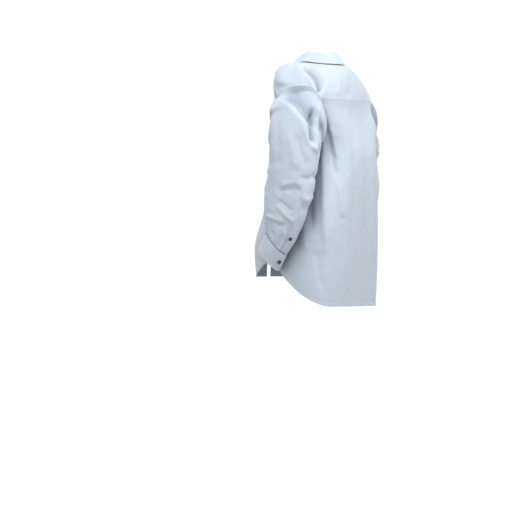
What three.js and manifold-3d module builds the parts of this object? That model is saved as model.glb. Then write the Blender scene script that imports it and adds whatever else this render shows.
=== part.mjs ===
// A hip-length, shirt-cut coat in light woven cotton, shown as it hangs on its wearer.
// Millimetres. +Z is up, the wearer faces -Y, and the wearer's left is +X.
// The origin is the middle of the neck, level with the highest point of the shoulders.
import * as THREE from 'three';
import { mergeVertices } from 'three/addons/utils/BufferGeometryUtils.js';
import Module from 'manifold-3d';

const wasm = await Module();
wasm.setup();

// ---------------------------------------------------------------- driving sizes

const CLOTH = 1.2; // one layer of cloth, thickened so that it is a sound solid
const SEAM_GAP = 0.4; // between two layers laid on each other, or the two sides of an armhole
const SEAM_REST = 0.9; // between two edges that are sewn together
const OVERLAY_GAP = 1; // between a laid-on piece and the curved cloth under it
const COLUMN_GAP = 0.25; // degrees round the body between two upright edges
const DEGREE = Math.PI / 180;

// Body, level by level: distance below the shoulder, half width at the sides,
// and how far the back and the front stand from the middle of the body.
const BODY_MIDDLE_Y = 10;
const BODY_LEVELS = [
  { drop: 90, half: 172, back: 132, front: 104 },
  { drop: 165, half: 168, back: 150, front: 118 },
  { drop: 250, half: 155, back: 160, front: 125 },
  { drop: 350, half: 181, back: 164, front: 128 },
  { drop: 450, half: 208, back: 160, front: 132 },
  { drop: 560, half: 225, back: 154, front: 150 },
  { drop: 650, half: 236, back: 148, front: 158 },
  { drop: 760, half: 238, back: 140, front: 162 },
];
const BACK_SQUARENESS = 3.6; // power of the superellipse: the back hangs flat with corners
const FRONT_SQUARENESS = 2.5;
const SIDE_SEAM_TURN = 103; // degrees round from centre back to the side seam
const BACK_LENGTH = 735; // shoulder level to the bottom of the back tail
const SIDE_NOTCH_DROP = 597; // shoulder level to the hem at the side seam
const FRONT_LENGTH = 645; // shoulder level to the bottom of the front hem
const TAIL_FLAT_TURN = 58; // the back hem is level as far round as this
const TAIL_CURVE_POWER = 1.8;
const FRONT_HEM_CURVE_TURN = 30; // the front hem climbs to the notch over this turn
const SETTLE_LENGTH = 170; // cloth below a seam takes the body's own section over this drop
const EASE_TURN = 14; // degrees over which hanging cloth changes to turned-in cloth

// Armhole: a flat round ring, leaning out at the top.
const ARMHOLE_RADIUS = 95;
const ARMHOLE_X = 184;
const ARMHOLE_Y = 42;
const ARMHOLE_DROP = 163;
const ARMHOLE_LEAN = 10; // degrees
const YOKE_BACK_CORNER = 37; // degrees round the armhole from its rearmost point, upwards
const YOKE_FRONT_CORNER = 140;
const SIDE_SEAM_CORNER = -100;

// Neck and yoke
const NECK_HALF_WIDTH = 69;
const NECK_DEPTH_BACK = 65;
const NECK_DEPTH_FRONT = 77;
const NECK_BACK_DROP = -4;
const NECK_FRONT_DROP = 72;
const NECK_SLOPE_STARTS = 75; // degrees round from centre back
const FRONT_SEAM_TURN = 115; // where the front yoke seam meets the neck
const NECK_END_TURN = 170;
const YOKE_DROP_CENTRE = 108;
const YOKE_CENTRE_Y = 141;
const YOKE_BACK_TURN = 60; // where the back corner's column runs down the body
const SHOULDER_ROUND_BACK = 22;
const SHOULDER_ROUND_FRONT = 34;

// Front opening, worn unbuttoned
const FRONT_EDGE_TURN = 174; // the column of the front edge
const ARM_END_TURN = 124; // the column under the front yoke corner
const NECK_START_TURN = 159; // the column under the neck end of the front seam
const PLACKET_WIDTH = 34;
const CHEST_SPLIT_DROP = 205; // the fronts swing below this level
const FLAP_SPLIT_TURN = 114; // and in from this column
const COLLAR_STAND_HEIGHT = 34;
const COLLAR_STAND_FRONT = 26;
const COLLAR_STAND_LEAN = 3;
const COLLAR_LEAF_BACK = 38; // how far the leaf's edge falls at the back
const COLLAR_LEAF_SIDE = 29; // over the shoulders
const COLLAR_LEAF_POINT = 62; // and at its points
const COLLAR_LEAF_SPREAD = 24; // how far its edge stands out at the back
const COLLAR_POINT_SPREAD = 38; // and at its points
const COLLAR_LEAF_START_TURN = 163;

// Sleeve, station by station below the armhole: centre, the lean of the station's
// upright axis out from the vertical, its tip forward, and its two half widths.
const SLEEVE_STATIONS = [
  { x: 226, y: 32, drop: 210, lean: 26, tip: 0, deep: 92, wide: 78 },
  { x: 248, y: 28, drop: 280, lean: 68, tip: 2, deep: 85, wide: 60 },
  { x: 260, y: 27, drop: 350, lean: 86, tip: 5, deep: 80, wide: 53 },
  { x: 269, y: 17, drop: 425, lean: 90, tip: 12, deep: 72, wide: 48 },
  { x: 275, y: 3, drop: 490, lean: 90, tip: 28, deep: 61, wide: 42 },
];
const CUFF_X = 278;
const CUFF_Y = -10;
const CUFF_DROP = 545;
const CUFF_TIP = 48; // degrees that the wrist end tips forward
const CUFF_HALF_DEEP = 45;
const CUFF_HALF_WIDE = 33;
const CUFF_DEPTH = 54;
const CUFF_SHEAR = 20; // degrees that the cuff runs down from square to its ring
const CUFF_THICK = 2;
const CUFF_OVERLAP = 24; // degrees of lap
const CUFF_LAP_AT = 20; // degrees round the wrist where the lap ends, from the back
const SLEEVE_LENGTH = 450; // armhole ring to cuff along the arm
const SLEEVE_PLACKET_LENGTH = 110;
const SLEEVE_PLACKET_WIDTH = 22;

// Trim
const BUTTON_RADIUS = 6;
const BUTTON_THICK = 2.4;
const BUTTON_HOLE_RADIUS = 0.8;
const BUTTON_HOLE_OFFSET = 1.5;
const BUTTON_SHANK = 0.7; // thread between a button and its cloth
const SMALL_BUTTON_SCALE = 0.85;
const FIRST_BUTTON_DROP = 125;
const BUTTON_PITCH = 86;
const FRONT_BUTTONS = 6;
const POCKET_INNER_TURN = 155;
const POCKET_OUTER_TURN = 122; // which makes it 93 wide on the cloth
const POCKET_HEIGHT = 118;
const POCKET_TOP_DROP = 222;
const POCKET_POINT = 14;
const POCKET_HEM = 24;
const LOOP_SPAN = 52;
const LOOP_HANG = 20;
const LOOP_STRAP = 5;
const LOOP_CLEARANCE = 4;
const LABEL_WIDTH = 46;
const LABEL_HEIGHT = 20;
const LINING_INSET = 0.012; // share of the yoke that its inner layer stops short

// ---------------------------------------------------------------- materials

const cotton = (hex) => new THREE.MeshStandardMaterial({ color: hex, roughness: 0.85, metalness: 0 });
const poplin = cotton(0xc8d5e2);
const poplinDouble = cotton(0xc4d2e0);
const poplinInside = cotton(0xbccbda);
const tape = cotton(0xb4c4d4);
const labelCloth = cotton(0xeef2f5);
const buttonHorn = new THREE.MeshStandardMaterial({ color: 0x3b424c, roughness: 0.35, metalness: 0 });

const coat = new THREE.Group();

function addPiece(name, geometry, material) {
  const mesh = new THREE.Mesh(geometry, material.clone());
  mesh.name = name;
  coat.add(mesh);
  return mesh;
}

// ---------------------------------------------------------------- sheet building

const clamp01 = (t) => Math.min(1, Math.max(0, t));
const smooth = (t) => clamp01(t) ** 2 * (3 - 2 * clamp01(t));
const mix = THREE.MathUtils.lerp;

// Reads rows of numbers at any value of their first column, on a smooth curve.
function table(rows, key) {
  const names = Object.keys(rows[0]);
  const places = rows.map((row) => row[key]);
  const values = rows.flatMap((row) => names.map((name) => row[name]));
  const curve = new THREE.CubicInterpolant(places, values, names.length);
  const last = places[places.length - 1];
  return (at) => {
    const read = curve.evaluate(Math.min(last, Math.max(places[0], at)));
    return Object.fromEntries(names.map((name, i) => [name, read[i]]));
  };
}

// The normal of a surface that is seen from outside with u to the right and v down.
function outward(surface, u, v, wraps) {
  const step = 0.004;
  const inside = (t) => Math.min(1 - step, Math.max(step, t));
  const across = wraps ? u : inside(u);
  const down = inside(v);
  const along = surface(across + step, down).sub(surface(across - step, down));
  const fall = surface(across, down + step).sub(surface(across, down - step));
  return fall.cross(along).normalize();
}

// A thin box bent onto a surface: its outer face lies `lift` outside the surface.
// With `wraps`, the box's two ends meet and the piece is a tube.
function bend(surface, { across, down, thick = CLOTH, lift = 0, wraps = false }) {
  const box = new THREE.BoxGeometry(1, 1, 1, across, down, 1);
  box.deleteAttribute('normal');
  box.deleteAttribute('uv');
  if (wraps) {
    const ends = box.groups[2].start;
    box.setIndex(Array.from(box.index.array).slice(ends));
  }
  const place = box.attributes.position;
  for (let i = 0; i < place.count; i += 1) {
    const u = place.getX(i) + 0.5;
    const v = 0.5 - place.getY(i);
    const height = lift + (place.getZ(i) - 0.5) * thick;
    const around = wraps && u > 0.9999 ? 0 : u;
    const point = surface(around, v).addScaledVector(outward(surface, around, v, wraps), height);
    place.setXYZ(i, point.x, point.y, point.z);
  }
  box.clearGroups();
  return mergeVertices(box, 1e-4);
}

// The same surface on the wearer's other side.
function mirrored(surface) {
  return (u, v) => {
    const point = surface(1 - u, v);
    point.x = -point.x;
    return point;
  };
}

function addPair(name, surface, options, material) {
  addPiece(`left_${name}`, bend(surface, options), material);
  addPiece(`right_${name}`, bend(mirrored(surface), options), material);
}

// A surface held to one layer's height over another.
function lifted(surface, height) {
  return (u, v) => surface(u, v).addScaledVector(outward(surface, u, v, false), height);
}

// ---------------------------------------------------------------- body

const bodyLevel = table(BODY_LEVELS, 'drop');

// A point of the body's own section: turn in degrees from centre back to the left.
function bodySection(turn, drop) {
  const level = bodyLevel(drop);
  const side = Math.sin(turn * DEGREE);
  const rear = Math.cos(turn * DEGREE);
  const power = rear > 0 ? BACK_SQUARENESS : FRONT_SQUARENESS;
  const depth = rear > 0 ? level.back : level.front;
  const sum = Math.abs(side / level.half) ** power + Math.abs(rear / depth) ** power;
  const radius = sum ** (-1 / power);
  return new THREE.Vector3(radius * side, BODY_MIDDLE_Y + radius * rear, -drop);
}

const armholeCentre = new THREE.Vector3(ARMHOLE_X, ARMHOLE_Y, -ARMHOLE_DROP);
const armholeUp = new THREE.Vector3(Math.sin(ARMHOLE_LEAN * DEGREE), 0, Math.cos(ARMHOLE_LEAN * DEGREE));
const armholeBack = new THREE.Vector3(0, 1, 0);
const armholeOut = new THREE.Vector3().crossVectors(armholeBack, armholeUp);

// Round the left armhole: 0 is its rearmost point, 90 its top. `off` is towards the arm.
function armhole(angle, off) {
  return armholeCentre
    .clone()
    .addScaledVector(armholeBack, ARMHOLE_RADIUS * Math.cos(angle * DEGREE))
    .addScaledVector(armholeUp, ARMHOLE_RADIUS * Math.sin(angle * DEGREE))
    .addScaledVector(armholeOut, off);
}

const BODY_SIDE = -1.5 * SEAM_REST; // the body's edge of the armhole seam
const SLEEVE_SIDE = 2 * SEAM_GAP; // the sleeve's edge of it

// The neck seam, turn in degrees from centre back.
function neckSeam(turn) {
  const side = Math.sin(turn * DEGREE);
  const rear = Math.cos(turn * DEGREE);
  const depth = rear > 0 ? NECK_DEPTH_BACK : NECK_DEPTH_FRONT;
  const slope = smooth((Math.abs(turn) - NECK_SLOPE_STARTS) / (180 - NECK_SLOPE_STARTS));
  const drop = mix(NECK_BACK_DROP, NECK_FRONT_DROP, slope);
  return new THREE.Vector3(NECK_HALF_WIDTH * side, depth * rear, -drop);
}

const yokeCorner = armhole(YOKE_BACK_CORNER, BODY_SIDE);

// The seam across the back, from centre (0) to the left armhole (1).
function yokeSeam(share) {
  const bow = (1 - share ** 2.4) * (YOKE_CENTRE_Y - yokeCorner.y);
  const drop = mix(YOKE_DROP_CENTRE, -yokeCorner.z, share);
  return new THREE.Vector3(yokeCorner.x * share, yokeCorner.y + bow, -drop);
}

const YOKE_CORNER_SHARE = 1 / 3; // of the half yoke, from centre back to its back corner

// The left half of the yoke: share 0 is centre back and 1 the front seam; reach runs
// from the neck (0) to the armhole or the back seam (1).
function halfYoke(share, reach) {
  const backPart = share / YOKE_CORNER_SHARE;
  const frontPart = clamp01((share - YOKE_CORNER_SHARE) / (1 - YOKE_CORNER_SHARE));
  const neckTurn = share < YOKE_CORNER_SHARE
    ? mix(0, NECK_SLOPE_STARTS / 2, backPart)
    : mix(NECK_SLOPE_STARTS / 2, FRONT_SEAM_TURN, frontPart);
  const inner = neckSeam(neckTurn);
  const outer = share < YOKE_CORNER_SHARE
    ? yokeSeam(backPart)
    : armhole(mix(YOKE_BACK_CORNER, YOKE_FRONT_CORNER, frontPart), BODY_SIDE);
  const swell = Math.sin(Math.PI * reach);
  const frontness = smooth((share - 0.55) / 0.45);
  const round = mix(SHOULDER_ROUND_BACK, SHOULDER_ROUND_FRONT, frontness);
  const lean = mix(0.7, -0.85, smooth((share - 0.3) / 0.6));
  const point = inner.lerp(outer, reach);
  point.y += lean * round * swell;
  point.z += (0.9 - 0.4 * frontness) * round * swell;
  return point;
}

function yoke(u, v) {
  const share = Math.abs(1 - 2 * u);
  const edge = SEAM_GAP / 100;
  const point = halfYoke(share * (1 - edge / 2), mix(edge, 1 - edge, v));
  point.x *= u < 0.5 ? 1 : -1;
  return point;
}

// Cloth beside an armhole turns in at once; below the yoke and the neck it hangs first.
function besideArmhole(turn) {
  const behind = smooth((turn - YOKE_BACK_TURN + EASE_TURN) / EASE_TURN);
  const ahead = smooth((turn - ARM_END_TURN) / EASE_TURN);
  return behind * (1 - ahead);
}

// Lets cloth fall from a seam point to the body's section at a level.
function fallFrom(seam, turn, drop) {
  const share = clamp01((drop + seam.z) / SETTLE_LENGTH);
  const turned = 1 - (1 - share) ** 2;
  const settled = mix(smooth(share), turned, besideArmhole(turn));
  const target = bodySection(turn, drop);
  return new THREE.Vector3(
    mix(seam.x, target.x, settled),
    mix(seam.y, target.y, settled),
    -drop,
  );
}

function backHemDrop(turn) {
  const climb = clamp01((Math.abs(turn) - TAIL_FLAT_TURN) / (SIDE_SEAM_TURN - TAIL_FLAT_TURN));
  return mix(BACK_LENGTH, SIDE_NOTCH_DROP, climb ** TAIL_CURVE_POWER);
}

function frontHemDrop(turn) {
  const fall = smooth((turn - SIDE_SEAM_TURN) / FRONT_HEM_CURVE_TURN);
  return mix(SIDE_NOTCH_DROP, FRONT_LENGTH, fall);
}

function backTop(turn) {
  const share = Math.abs(turn) / YOKE_BACK_TURN;
  if (share <= 1) return yokeSeam(share);
  const round = (Math.abs(turn) - YOKE_BACK_TURN) / (SIDE_SEAM_TURN - YOKE_BACK_TURN);
  return armhole(mix(YOKE_BACK_CORNER, SIDE_SEAM_CORNER, round), BODY_SIDE);
}

function backBody(u, v) {
  const turn = mix(SIDE_SEAM_TURN, -SIDE_SEAM_TURN, u);
  const top = backTop(turn);
  const start = -top.z + SEAM_REST;
  const drop = mix(start, backHemDrop(turn), v);
  const point = fallFrom(top, Math.abs(turn), drop);
  point.x *= turn < 0 ? -1 : 1;
  return point;
}

// ---------------------------------------------------------------- fronts

const OVERLAY = CLOTH + OVERLAY_GAP; // a patch, placket or pocket on curved cloth

// The top edge of the left front, turn by turn: armhole, front yoke seam, neck.
function frontTop(turn) {
  if (turn <= ARM_END_TURN) {
    const round = (turn - SIDE_SEAM_TURN) / (ARM_END_TURN - SIDE_SEAM_TURN);
    return armhole(mix(SIDE_SEAM_CORNER, YOKE_FRONT_CORNER - 360, round), BODY_SIDE);
  }
  if (turn <= NECK_START_TURN) {
    return halfYoke(1, (NECK_START_TURN - turn) / (NECK_START_TURN - ARM_END_TURN));
  }
  const round = (turn - NECK_START_TURN) / (180 - NECK_START_TURN);
  return neckSeam(mix(FRONT_SEAM_TURN, 180, round));
}

const frontSeamDrop = (turn) => -frontTop(turn).z + SEAM_REST;
const frontAt = (turn, drop) => fallFrom(frontTop(turn), turn, drop);

// A patch of the left front between two columns and two edges, seen from outside:
// u runs from the inner column out to the side.
function frontPatch(innerTurn, outerTurn, topDrop, bottomDrop) {
  return (u, v) => {
    const turn = mix(innerTurn, outerTurn, u);
    return frontAt(turn, mix(topDrop(turn), bottomDrop(turn), v));
  };
}

const chestBottom = () => CHEST_SPLIT_DROP - SEAM_REST;
const flapTop = () => CHEST_SPLIT_DROP;
const splitInner = FLAP_SPLIT_TURN + COLUMN_GAP;
const splitOuter = FLAP_SPLIT_TURN - COLUMN_GAP;

// The column that stands a distance out from the middle, at a level.
function turnAtX(x, drop) {
  let outer = ARM_END_TURN;
  let inner = 180;
  for (let i = 0; i < 24; i += 1) {
    const turn = (outer + inner) / 2;
    if (frontAt(turn, Math.max(drop, frontSeamDrop(turn))).x > x) outer = turn;
    else inner = turn;
  }
  return (outer + inner) / 2;
}

// A strip of one width along the left front edge, between two levels.
function frontStrip(topDrop, bottomDrop) {
  return (u, v) => {
    const edgeDrop = mix(topDrop(FRONT_EDGE_TURN), bottomDrop(FRONT_EDGE_TURN), v);
    const x = frontAt(FRONT_EDGE_TURN, edgeDrop).x + PLACKET_WIDTH * u;
    const top = topDrop(turnAtX(x, 0));
    const drop = mix(top, bottomDrop(turnAtX(x, FRONT_LENGTH)), v);
    return frontAt(turnAtX(x, drop), drop);
  };
}

function addFronts() {
  const chest = frontPatch(FRONT_EDGE_TURN, splitInner, frontSeamDrop, chestBottom);
  const flap = frontPatch(FRONT_EDGE_TURN, splitInner, flapTop, frontHemDrop);
  const side = frontPatch(splitOuter, SIDE_SEAM_TURN + COLUMN_GAP, frontSeamDrop, frontHemDrop);
  addPair('front_chest', chest, { across: 24, down: 8 }, poplin);
  addPair('front_panel', flap, { across: 20, down: 16 }, poplin);
  addPair('front_side', side, { across: 4, down: 10 }, poplin);
  const neckEdge = (turn) => frontSeamDrop(turn) + SEAM_REST;
  const strip = { across: 5, lift: OVERLAY };
  addPair('placket_top', frontStrip(neckEdge, chestBottom), { ...strip, down: 8 }, poplinDouble);
  addPair('placket', frontStrip(flapTop, frontHemDrop), { ...strip, down: 14 }, poplinDouble);
}

// ---------------------------------------------------------------- collar

// The stand rises from the neck seam and leans in a little.
function standPoint(turn, rise) {
  const front = smooth((Math.abs(turn) - NECK_SLOPE_STARTS) / (NECK_END_TURN - NECK_SLOPE_STARTS));
  const height = mix(COLLAR_STAND_HEIGHT, COLLAR_STAND_FRONT, front);
  const foot = neckSeam(turn);
  const away = new THREE.Vector3(foot.x / NECK_HALF_WIDTH, foot.y / NECK_DEPTH_FRONT, 0).normalize();
  foot.addScaledVector(away, -COLLAR_STAND_LEAN * (0.5 + rise));
  foot.z += SEAM_REST + height * rise;
  return foot;
}

function collarStand(u, v) {
  return standPoint(mix(NECK_END_TURN, -NECK_END_TURN, u), 1 - v);
}

// The leaf folds down over the stand, deeper at its front points.
function collarLeaf(u, v) {
  const turn = mix(COLLAR_LEAF_START_TURN, -COLLAR_LEAF_START_TURN, u);
  const front = smooth((Math.abs(turn) - NECK_SLOPE_STARTS) / (COLLAR_LEAF_START_TURN - NECK_SLOPE_STARTS));
  const behind = mix(COLLAR_LEAF_BACK, COLLAR_LEAF_SIDE, smooth(Math.abs(turn) / 90));
  const fall = mix(behind, COLLAR_LEAF_POINT, front ** 3);
  const top = standPoint(turn, 1);
  const away = new THREE.Vector3(top.x / NECK_HALF_WIDTH, top.y / NECK_DEPTH_FRONT, 0).normalize();
  const spread = mix(COLLAR_LEAF_SPREAD, COLLAR_POINT_SPREAD, front);
  top.addScaledVector(away, OVERLAY + spread * v);
  top.z -= fall * v;
  return top;
}

function addCollar() {
  addPiece('collar_stand', bend(collarStand, { across: 28, down: 2 }), poplinDouble);
  addPiece('collar_leaf', bend(collarLeaf, { across: 28, down: 3 }), poplinDouble);
}

// ---------------------------------------------------------------- sleeves and cuffs

// Stations from the armhole seam to the cuff seam, spaced by their place along the arm.
const armholeStation = {
  x: ARMHOLE_X + SLEEVE_SIDE,
  y: ARMHOLE_Y,
  drop: ARMHOLE_DROP,
  lean: ARMHOLE_LEAN,
  tip: 0,
  deep: ARMHOLE_RADIUS,
  wide: ARMHOLE_RADIUS,
};
const cuffStation = {
  x: CUFF_X,
  y: CUFF_Y,
  drop: CUFF_DROP,
  lean: 90,
  tip: CUFF_TIP,
  deep: CUFF_HALF_DEEP,
  wide: CUFF_HALF_WIDE,
};
const sleeveRows = [armholeStation, ...SLEEVE_STATIONS, cuffStation].map((row, i, rows) => ({
  ...row,
  along: i / (rows.length - 1),
}));
const sleeveStation = table(sleeveRows, 'along');

// A point of an oval station: angle 0 is its rearmost point and 90 its outer side.
function stationPoint(station, angle, grow) {
  const lean = station.lean * DEGREE;
  const tip = station.tip * DEGREE;
  const back = new THREE.Vector3(0, Math.cos(tip), -Math.sin(tip));
  const up = new THREE.Vector3(Math.sin(lean), 0, Math.cos(lean));
  return new THREE.Vector3(station.x, station.y, -station.drop)
    .addScaledVector(back, (station.deep + grow) * Math.cos(angle * DEGREE))
    .addScaledVector(up, (station.wide + grow) * Math.sin(angle * DEGREE));
}

const SLEEVE_SEAM_TURN = -90; // the sleeve's own seam runs down its inner side
const SLEEVE_END_SHARE = 0.995;

// Seen from outside, u runs round the arm from its seam and v from armhole to cuff.
function sleeve(u, v) {
  const station = sleeveStation(v * SLEEVE_END_SHARE);
  return stationPoint(station, SLEEVE_SEAM_TURN - 360 * u, 0);
}

const wristWay = new THREE.Vector3(
  0,
  -Math.sin((CUFF_TIP - CUFF_SHEAR) * DEGREE),
  -Math.cos((CUFF_TIP - CUFF_SHEAR) * DEGREE),
);

// The cuff is a band whose outer end laps over its inner one.
function cuff(u, v) {
  const angle = CUFF_LAP_AT + (360 + CUFF_OVERLAP) * (1 - u);
  const rise = (CUFF_THICK + SEAM_GAP) * u;
  const point = stationPoint(cuffStation, angle, rise);
  return point.addScaledVector(wristWay, SEAM_REST + CUFF_DEPTH * v);
}

function sleevePlacket(u, v) {
  const turnsWide = SLEEVE_PLACKET_WIDTH / (2 * Math.PI * CUFF_HALF_DEEP);
  const middle = (360 + SLEEVE_SEAM_TURN - CUFF_LAP_AT - CUFF_OVERLAP / 2) / 360;
  const start = 1 - SLEEVE_PLACKET_LENGTH / SLEEVE_LENGTH;
  return sleeve(middle + turnsWide * (u - 0.5), mix(start, 1, v));
}

function addSleeves() {
  addPair('sleeve', sleeve, { across: 24, down: 12, wraps: true }, poplin);
  addPair('cuff', cuff, { across: 22, down: 2, thick: CUFF_THICK }, poplinDouble);
  addPair('sleeve_placket', sleevePlacket, { across: 3, down: 6, lift: OVERLAY }, poplinDouble);
}

// ---------------------------------------------------------------- buttons

const toSolid = (geometry) => {
  const bare = geometry.clone();
  bare.deleteAttribute('normal');
  bare.deleteAttribute('uv');
  const merged = mergeVertices(bare, 1e-4);
  const vertProperties = Float32Array.from(merged.attributes.position.array);
  const triVerts = Uint32Array.from(merged.index.array);
  return new wasm.Manifold(new wasm.Mesh({ numProp: 3, vertProperties, triVerts }));
};

const toGeometry = (solid) => {
  const mesh = solid.getMesh();
  const geometry = new THREE.BufferGeometry();
  geometry.setAttribute('position', new THREE.BufferAttribute(mesh.vertProperties, 3));
  geometry.setIndex(new THREE.BufferAttribute(mesh.triVerts, 1));
  return geometry;
};

// A four-hole button lying in XY with its back at z = 0.
function makeButton() {
  const rim = BUTTON_THICK;
  const dish = BUTTON_THICK * 0.65;
  const outline = [
    [0, 0],
    [BUTTON_RADIUS - 0.6, 0],
    [BUTTON_RADIUS, 0.6],
    [BUTTON_RADIUS - 0.3, rim],
    [BUTTON_RADIUS - 1.4, rim],
    [BUTTON_RADIUS - 2.2, dish],
    [0, dish],
  ].map(([x, y]) => new THREE.Vector2(x, y));
  const disc = new THREE.LatheGeometry(outline, 18).rotateX(Math.PI / 2);
  const drill = new THREE.CylinderGeometry(BUTTON_HOLE_RADIUS, BUTTON_HOLE_RADIUS, BUTTON_THICK * 3, 8);
  drill.rotateX(Math.PI / 2);
  let button = toSolid(disc);
  for (const [x, y] of [[1, 1], [-1, 1], [-1, -1], [1, -1]]) {
    const hole = drill.clone().translate(x * BUTTON_HOLE_OFFSET, y * BUTTON_HOLE_OFFSET, 0);
    button = button.subtract(toSolid(hole));
  }
  return toGeometry(button);
}

const buttonGeometry = makeButton();

// Sets a button on a surface, its back one seam gap off the cloth.
function addButton(name, surface, u, v, lift, scale = 1) {
  const button = addPiece(name, buttonGeometry.clone(), buttonHorn);
  const normal = outward(surface, u, v, false);
  button.position.copy(surface(u, v)).addScaledVector(normal, lift + BUTTON_SHANK);
  button.quaternion.setFromUnitVectors(new THREE.Vector3(0, 0, 1), normal);
  button.scale.setScalar(scale);
}

function addButtonPair(name, surface, u, v, lift, scale) {
  addButton(`left_${name}`, surface, u, v, lift, scale);
  addButton(`right_${name}`, mirrored(surface), 1 - u, v, lift, scale);
}

function addButtons() {
  const column = mirrored(frontStrip(() => 0, () => FRONT_LENGTH));
  for (let i = 0; i < FRONT_BUTTONS; i += 1) {
    const drop = FIRST_BUTTON_DROP + BUTTON_PITCH * i;
    addButton(`front_button_${i + 1}`, column, 0.5, drop / FRONT_LENGTH, OVERLAY);
  }
  const lapMiddle = 1 - (CUFF_OVERLAP / 2) / (360 + CUFF_OVERLAP);
  addButtonPair('cuff_button', cuff, lapMiddle, 0.5, 0);
  addButtonPair('placket_button', sleevePlacket, 0.5, 0.5, OVERLAY, SMALL_BUTTON_SCALE);
}

// ---------------------------------------------------------------- pocket and trims

function addPocket() {
  const inner = POCKET_INNER_TURN;
  const outer = POCKET_OUTER_TURN;
  const hemLine = POCKET_TOP_DROP + POCKET_HEM;
  const point = (turn) => {
    const across = Math.abs(2 * (turn - inner) / (outer - inner) - 1);
    return POCKET_TOP_DROP + POCKET_HEIGHT - POCKET_POINT * across;
  };
  const hem = frontPatch(inner, outer, () => POCKET_TOP_DROP, () => hemLine - SEAM_REST);
  const bag = frontPatch(inner, outer, () => hemLine, point);
  addPiece('chest_pocket', bend(bag, { across: 14, down: 7, lift: OVERLAY }), poplin);
  addPiece('pocket_hem', bend(hem, { across: 14, down: 2, lift: OVERLAY }), poplinDouble);
}

// The second yoke layer lies inside the first.
function yokeInside(u, v) {
  return lifted(yoke, -OVERLAY)(u, mix(LINING_INSET, 1 - LINING_INSET, v));
}

function addTrims() {
  addPiece('yoke_lining', bend(yokeInside, { across: 36, down: 8 }), poplinInside);
  const label = (u, v) => {
    const across = (0.5 - u) * LABEL_WIDTH;
    const down = mix(0.34, 0.34 + LABEL_HEIGHT / YOKE_DROP_CENTRE, v);
    return lifted(yoke, -OVERLAY - CLOTH - OVERLAY_GAP)(0.5 - across / (4 * YOKE_CENTRE_Y), down);
  };
  addPiece('neck_label', bend(label, { across: 4, down: 2, thick: CLOTH / 2 }), labelCloth);
  const loopHalf = LOOP_SPAN / 2;
  const loopY = neckSeam(0).y - LOOP_CLEARANCE - COLLAR_STAND_LEAN;
  const loopTop = -NECK_BACK_DROP - LOOP_CLEARANCE;
  const loopPath = new THREE.CatmullRomCurve3([
    new THREE.Vector3(-loopHalf, loopY, loopTop),
    new THREE.Vector3(-loopHalf * 0.8, loopY, loopTop - LOOP_HANG * 0.7),
    new THREE.Vector3(0, loopY, loopTop - LOOP_HANG),
    new THREE.Vector3(loopHalf * 0.8, loopY, loopTop - LOOP_HANG * 0.7),
    new THREE.Vector3(loopHalf, loopY, loopTop),
  ]);
  const strap = new THREE.Shape();
  strap.moveTo(-LOOP_STRAP / 2, -CLOTH / 2);
  strap.lineTo(LOOP_STRAP / 2, -CLOTH / 2);
  strap.lineTo(LOOP_STRAP / 2, CLOTH / 2);
  strap.lineTo(-LOOP_STRAP / 2, CLOTH / 2);
  strap.closePath();
  const loop = new THREE.ExtrudeGeometry(strap, { steps: 16, extrudePath: loopPath });
  addPiece('hanger_loop', loop, tape);
}

// ---------------------------------------------------------------- the coat

addPiece('back_yoke', bend(yoke, { across: 36, down: 8 }), poplin);
addPiece('back_body', bend(backBody, { across: 34, down: 12 }), poplin);
addFronts();
addCollar();
addSleeves();
addButtons();
addPocket();
addTrims();

export default coat;
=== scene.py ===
"""A hip-length, shirt-cut coat in pale blue cotton, hanging as worn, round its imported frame.

Shapes are worked out in millimetres and become metres when a mesh is made.
The wearer faces -Y and the wearer's left is +X."""

import math

import bpy
import numpy as np
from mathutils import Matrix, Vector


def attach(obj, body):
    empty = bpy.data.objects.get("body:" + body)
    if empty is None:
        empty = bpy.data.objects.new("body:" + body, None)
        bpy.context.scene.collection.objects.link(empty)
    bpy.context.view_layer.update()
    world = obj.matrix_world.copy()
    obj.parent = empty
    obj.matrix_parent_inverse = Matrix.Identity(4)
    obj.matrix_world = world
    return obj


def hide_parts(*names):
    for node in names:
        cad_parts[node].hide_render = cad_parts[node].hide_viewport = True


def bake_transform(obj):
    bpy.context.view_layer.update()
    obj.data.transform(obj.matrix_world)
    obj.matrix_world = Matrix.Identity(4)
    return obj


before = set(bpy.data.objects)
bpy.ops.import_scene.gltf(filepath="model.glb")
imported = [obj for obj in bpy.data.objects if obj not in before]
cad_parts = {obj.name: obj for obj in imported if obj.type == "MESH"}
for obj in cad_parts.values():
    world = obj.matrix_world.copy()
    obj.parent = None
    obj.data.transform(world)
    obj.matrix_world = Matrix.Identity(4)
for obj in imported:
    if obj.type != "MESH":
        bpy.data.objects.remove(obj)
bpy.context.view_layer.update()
MM = 0.001

# ---------------------------------------------------------------- the coat's own surfaces

BODY_MIDDLE_Y = 10
BODY_LEVELS = [  # drop, half width, depth of the back, depth of the front
    (90, 172, 132, 104),
    (165, 168, 150, 118),
    (250, 155, 160, 125),
    (350, 181, 164, 128),
    (450, 208, 160, 132),
    (560, 225, 154, 150),
    (650, 236, 148, 158),
    (760, 238, 140, 162),
]
BACK_SQUARENESS = 3.6  # powers of the section's superellipse
FRONT_SQUARENESS = 2.5
SETTLE_LENGTH = 170  # cloth below a seam takes the body's section over this drop
EASE_TURN = 14

# Turns are in degrees round the body from centre back, drops in millimetres from the shoulder.
SIDE_TURN = 103
ARM_END_TURN = 124
NECK_START_TURN = 159
FRONT_EDGE_TURN = 174
BACK_LENGTH = 735
NOTCH_DROP = 597
FRONT_LENGTH = 645
TAIL_FLAT_TURN = 58
TAIL_CURVE_POWER = 1.8
FRONT_HEM_CURVE_TURN = 30

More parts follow.
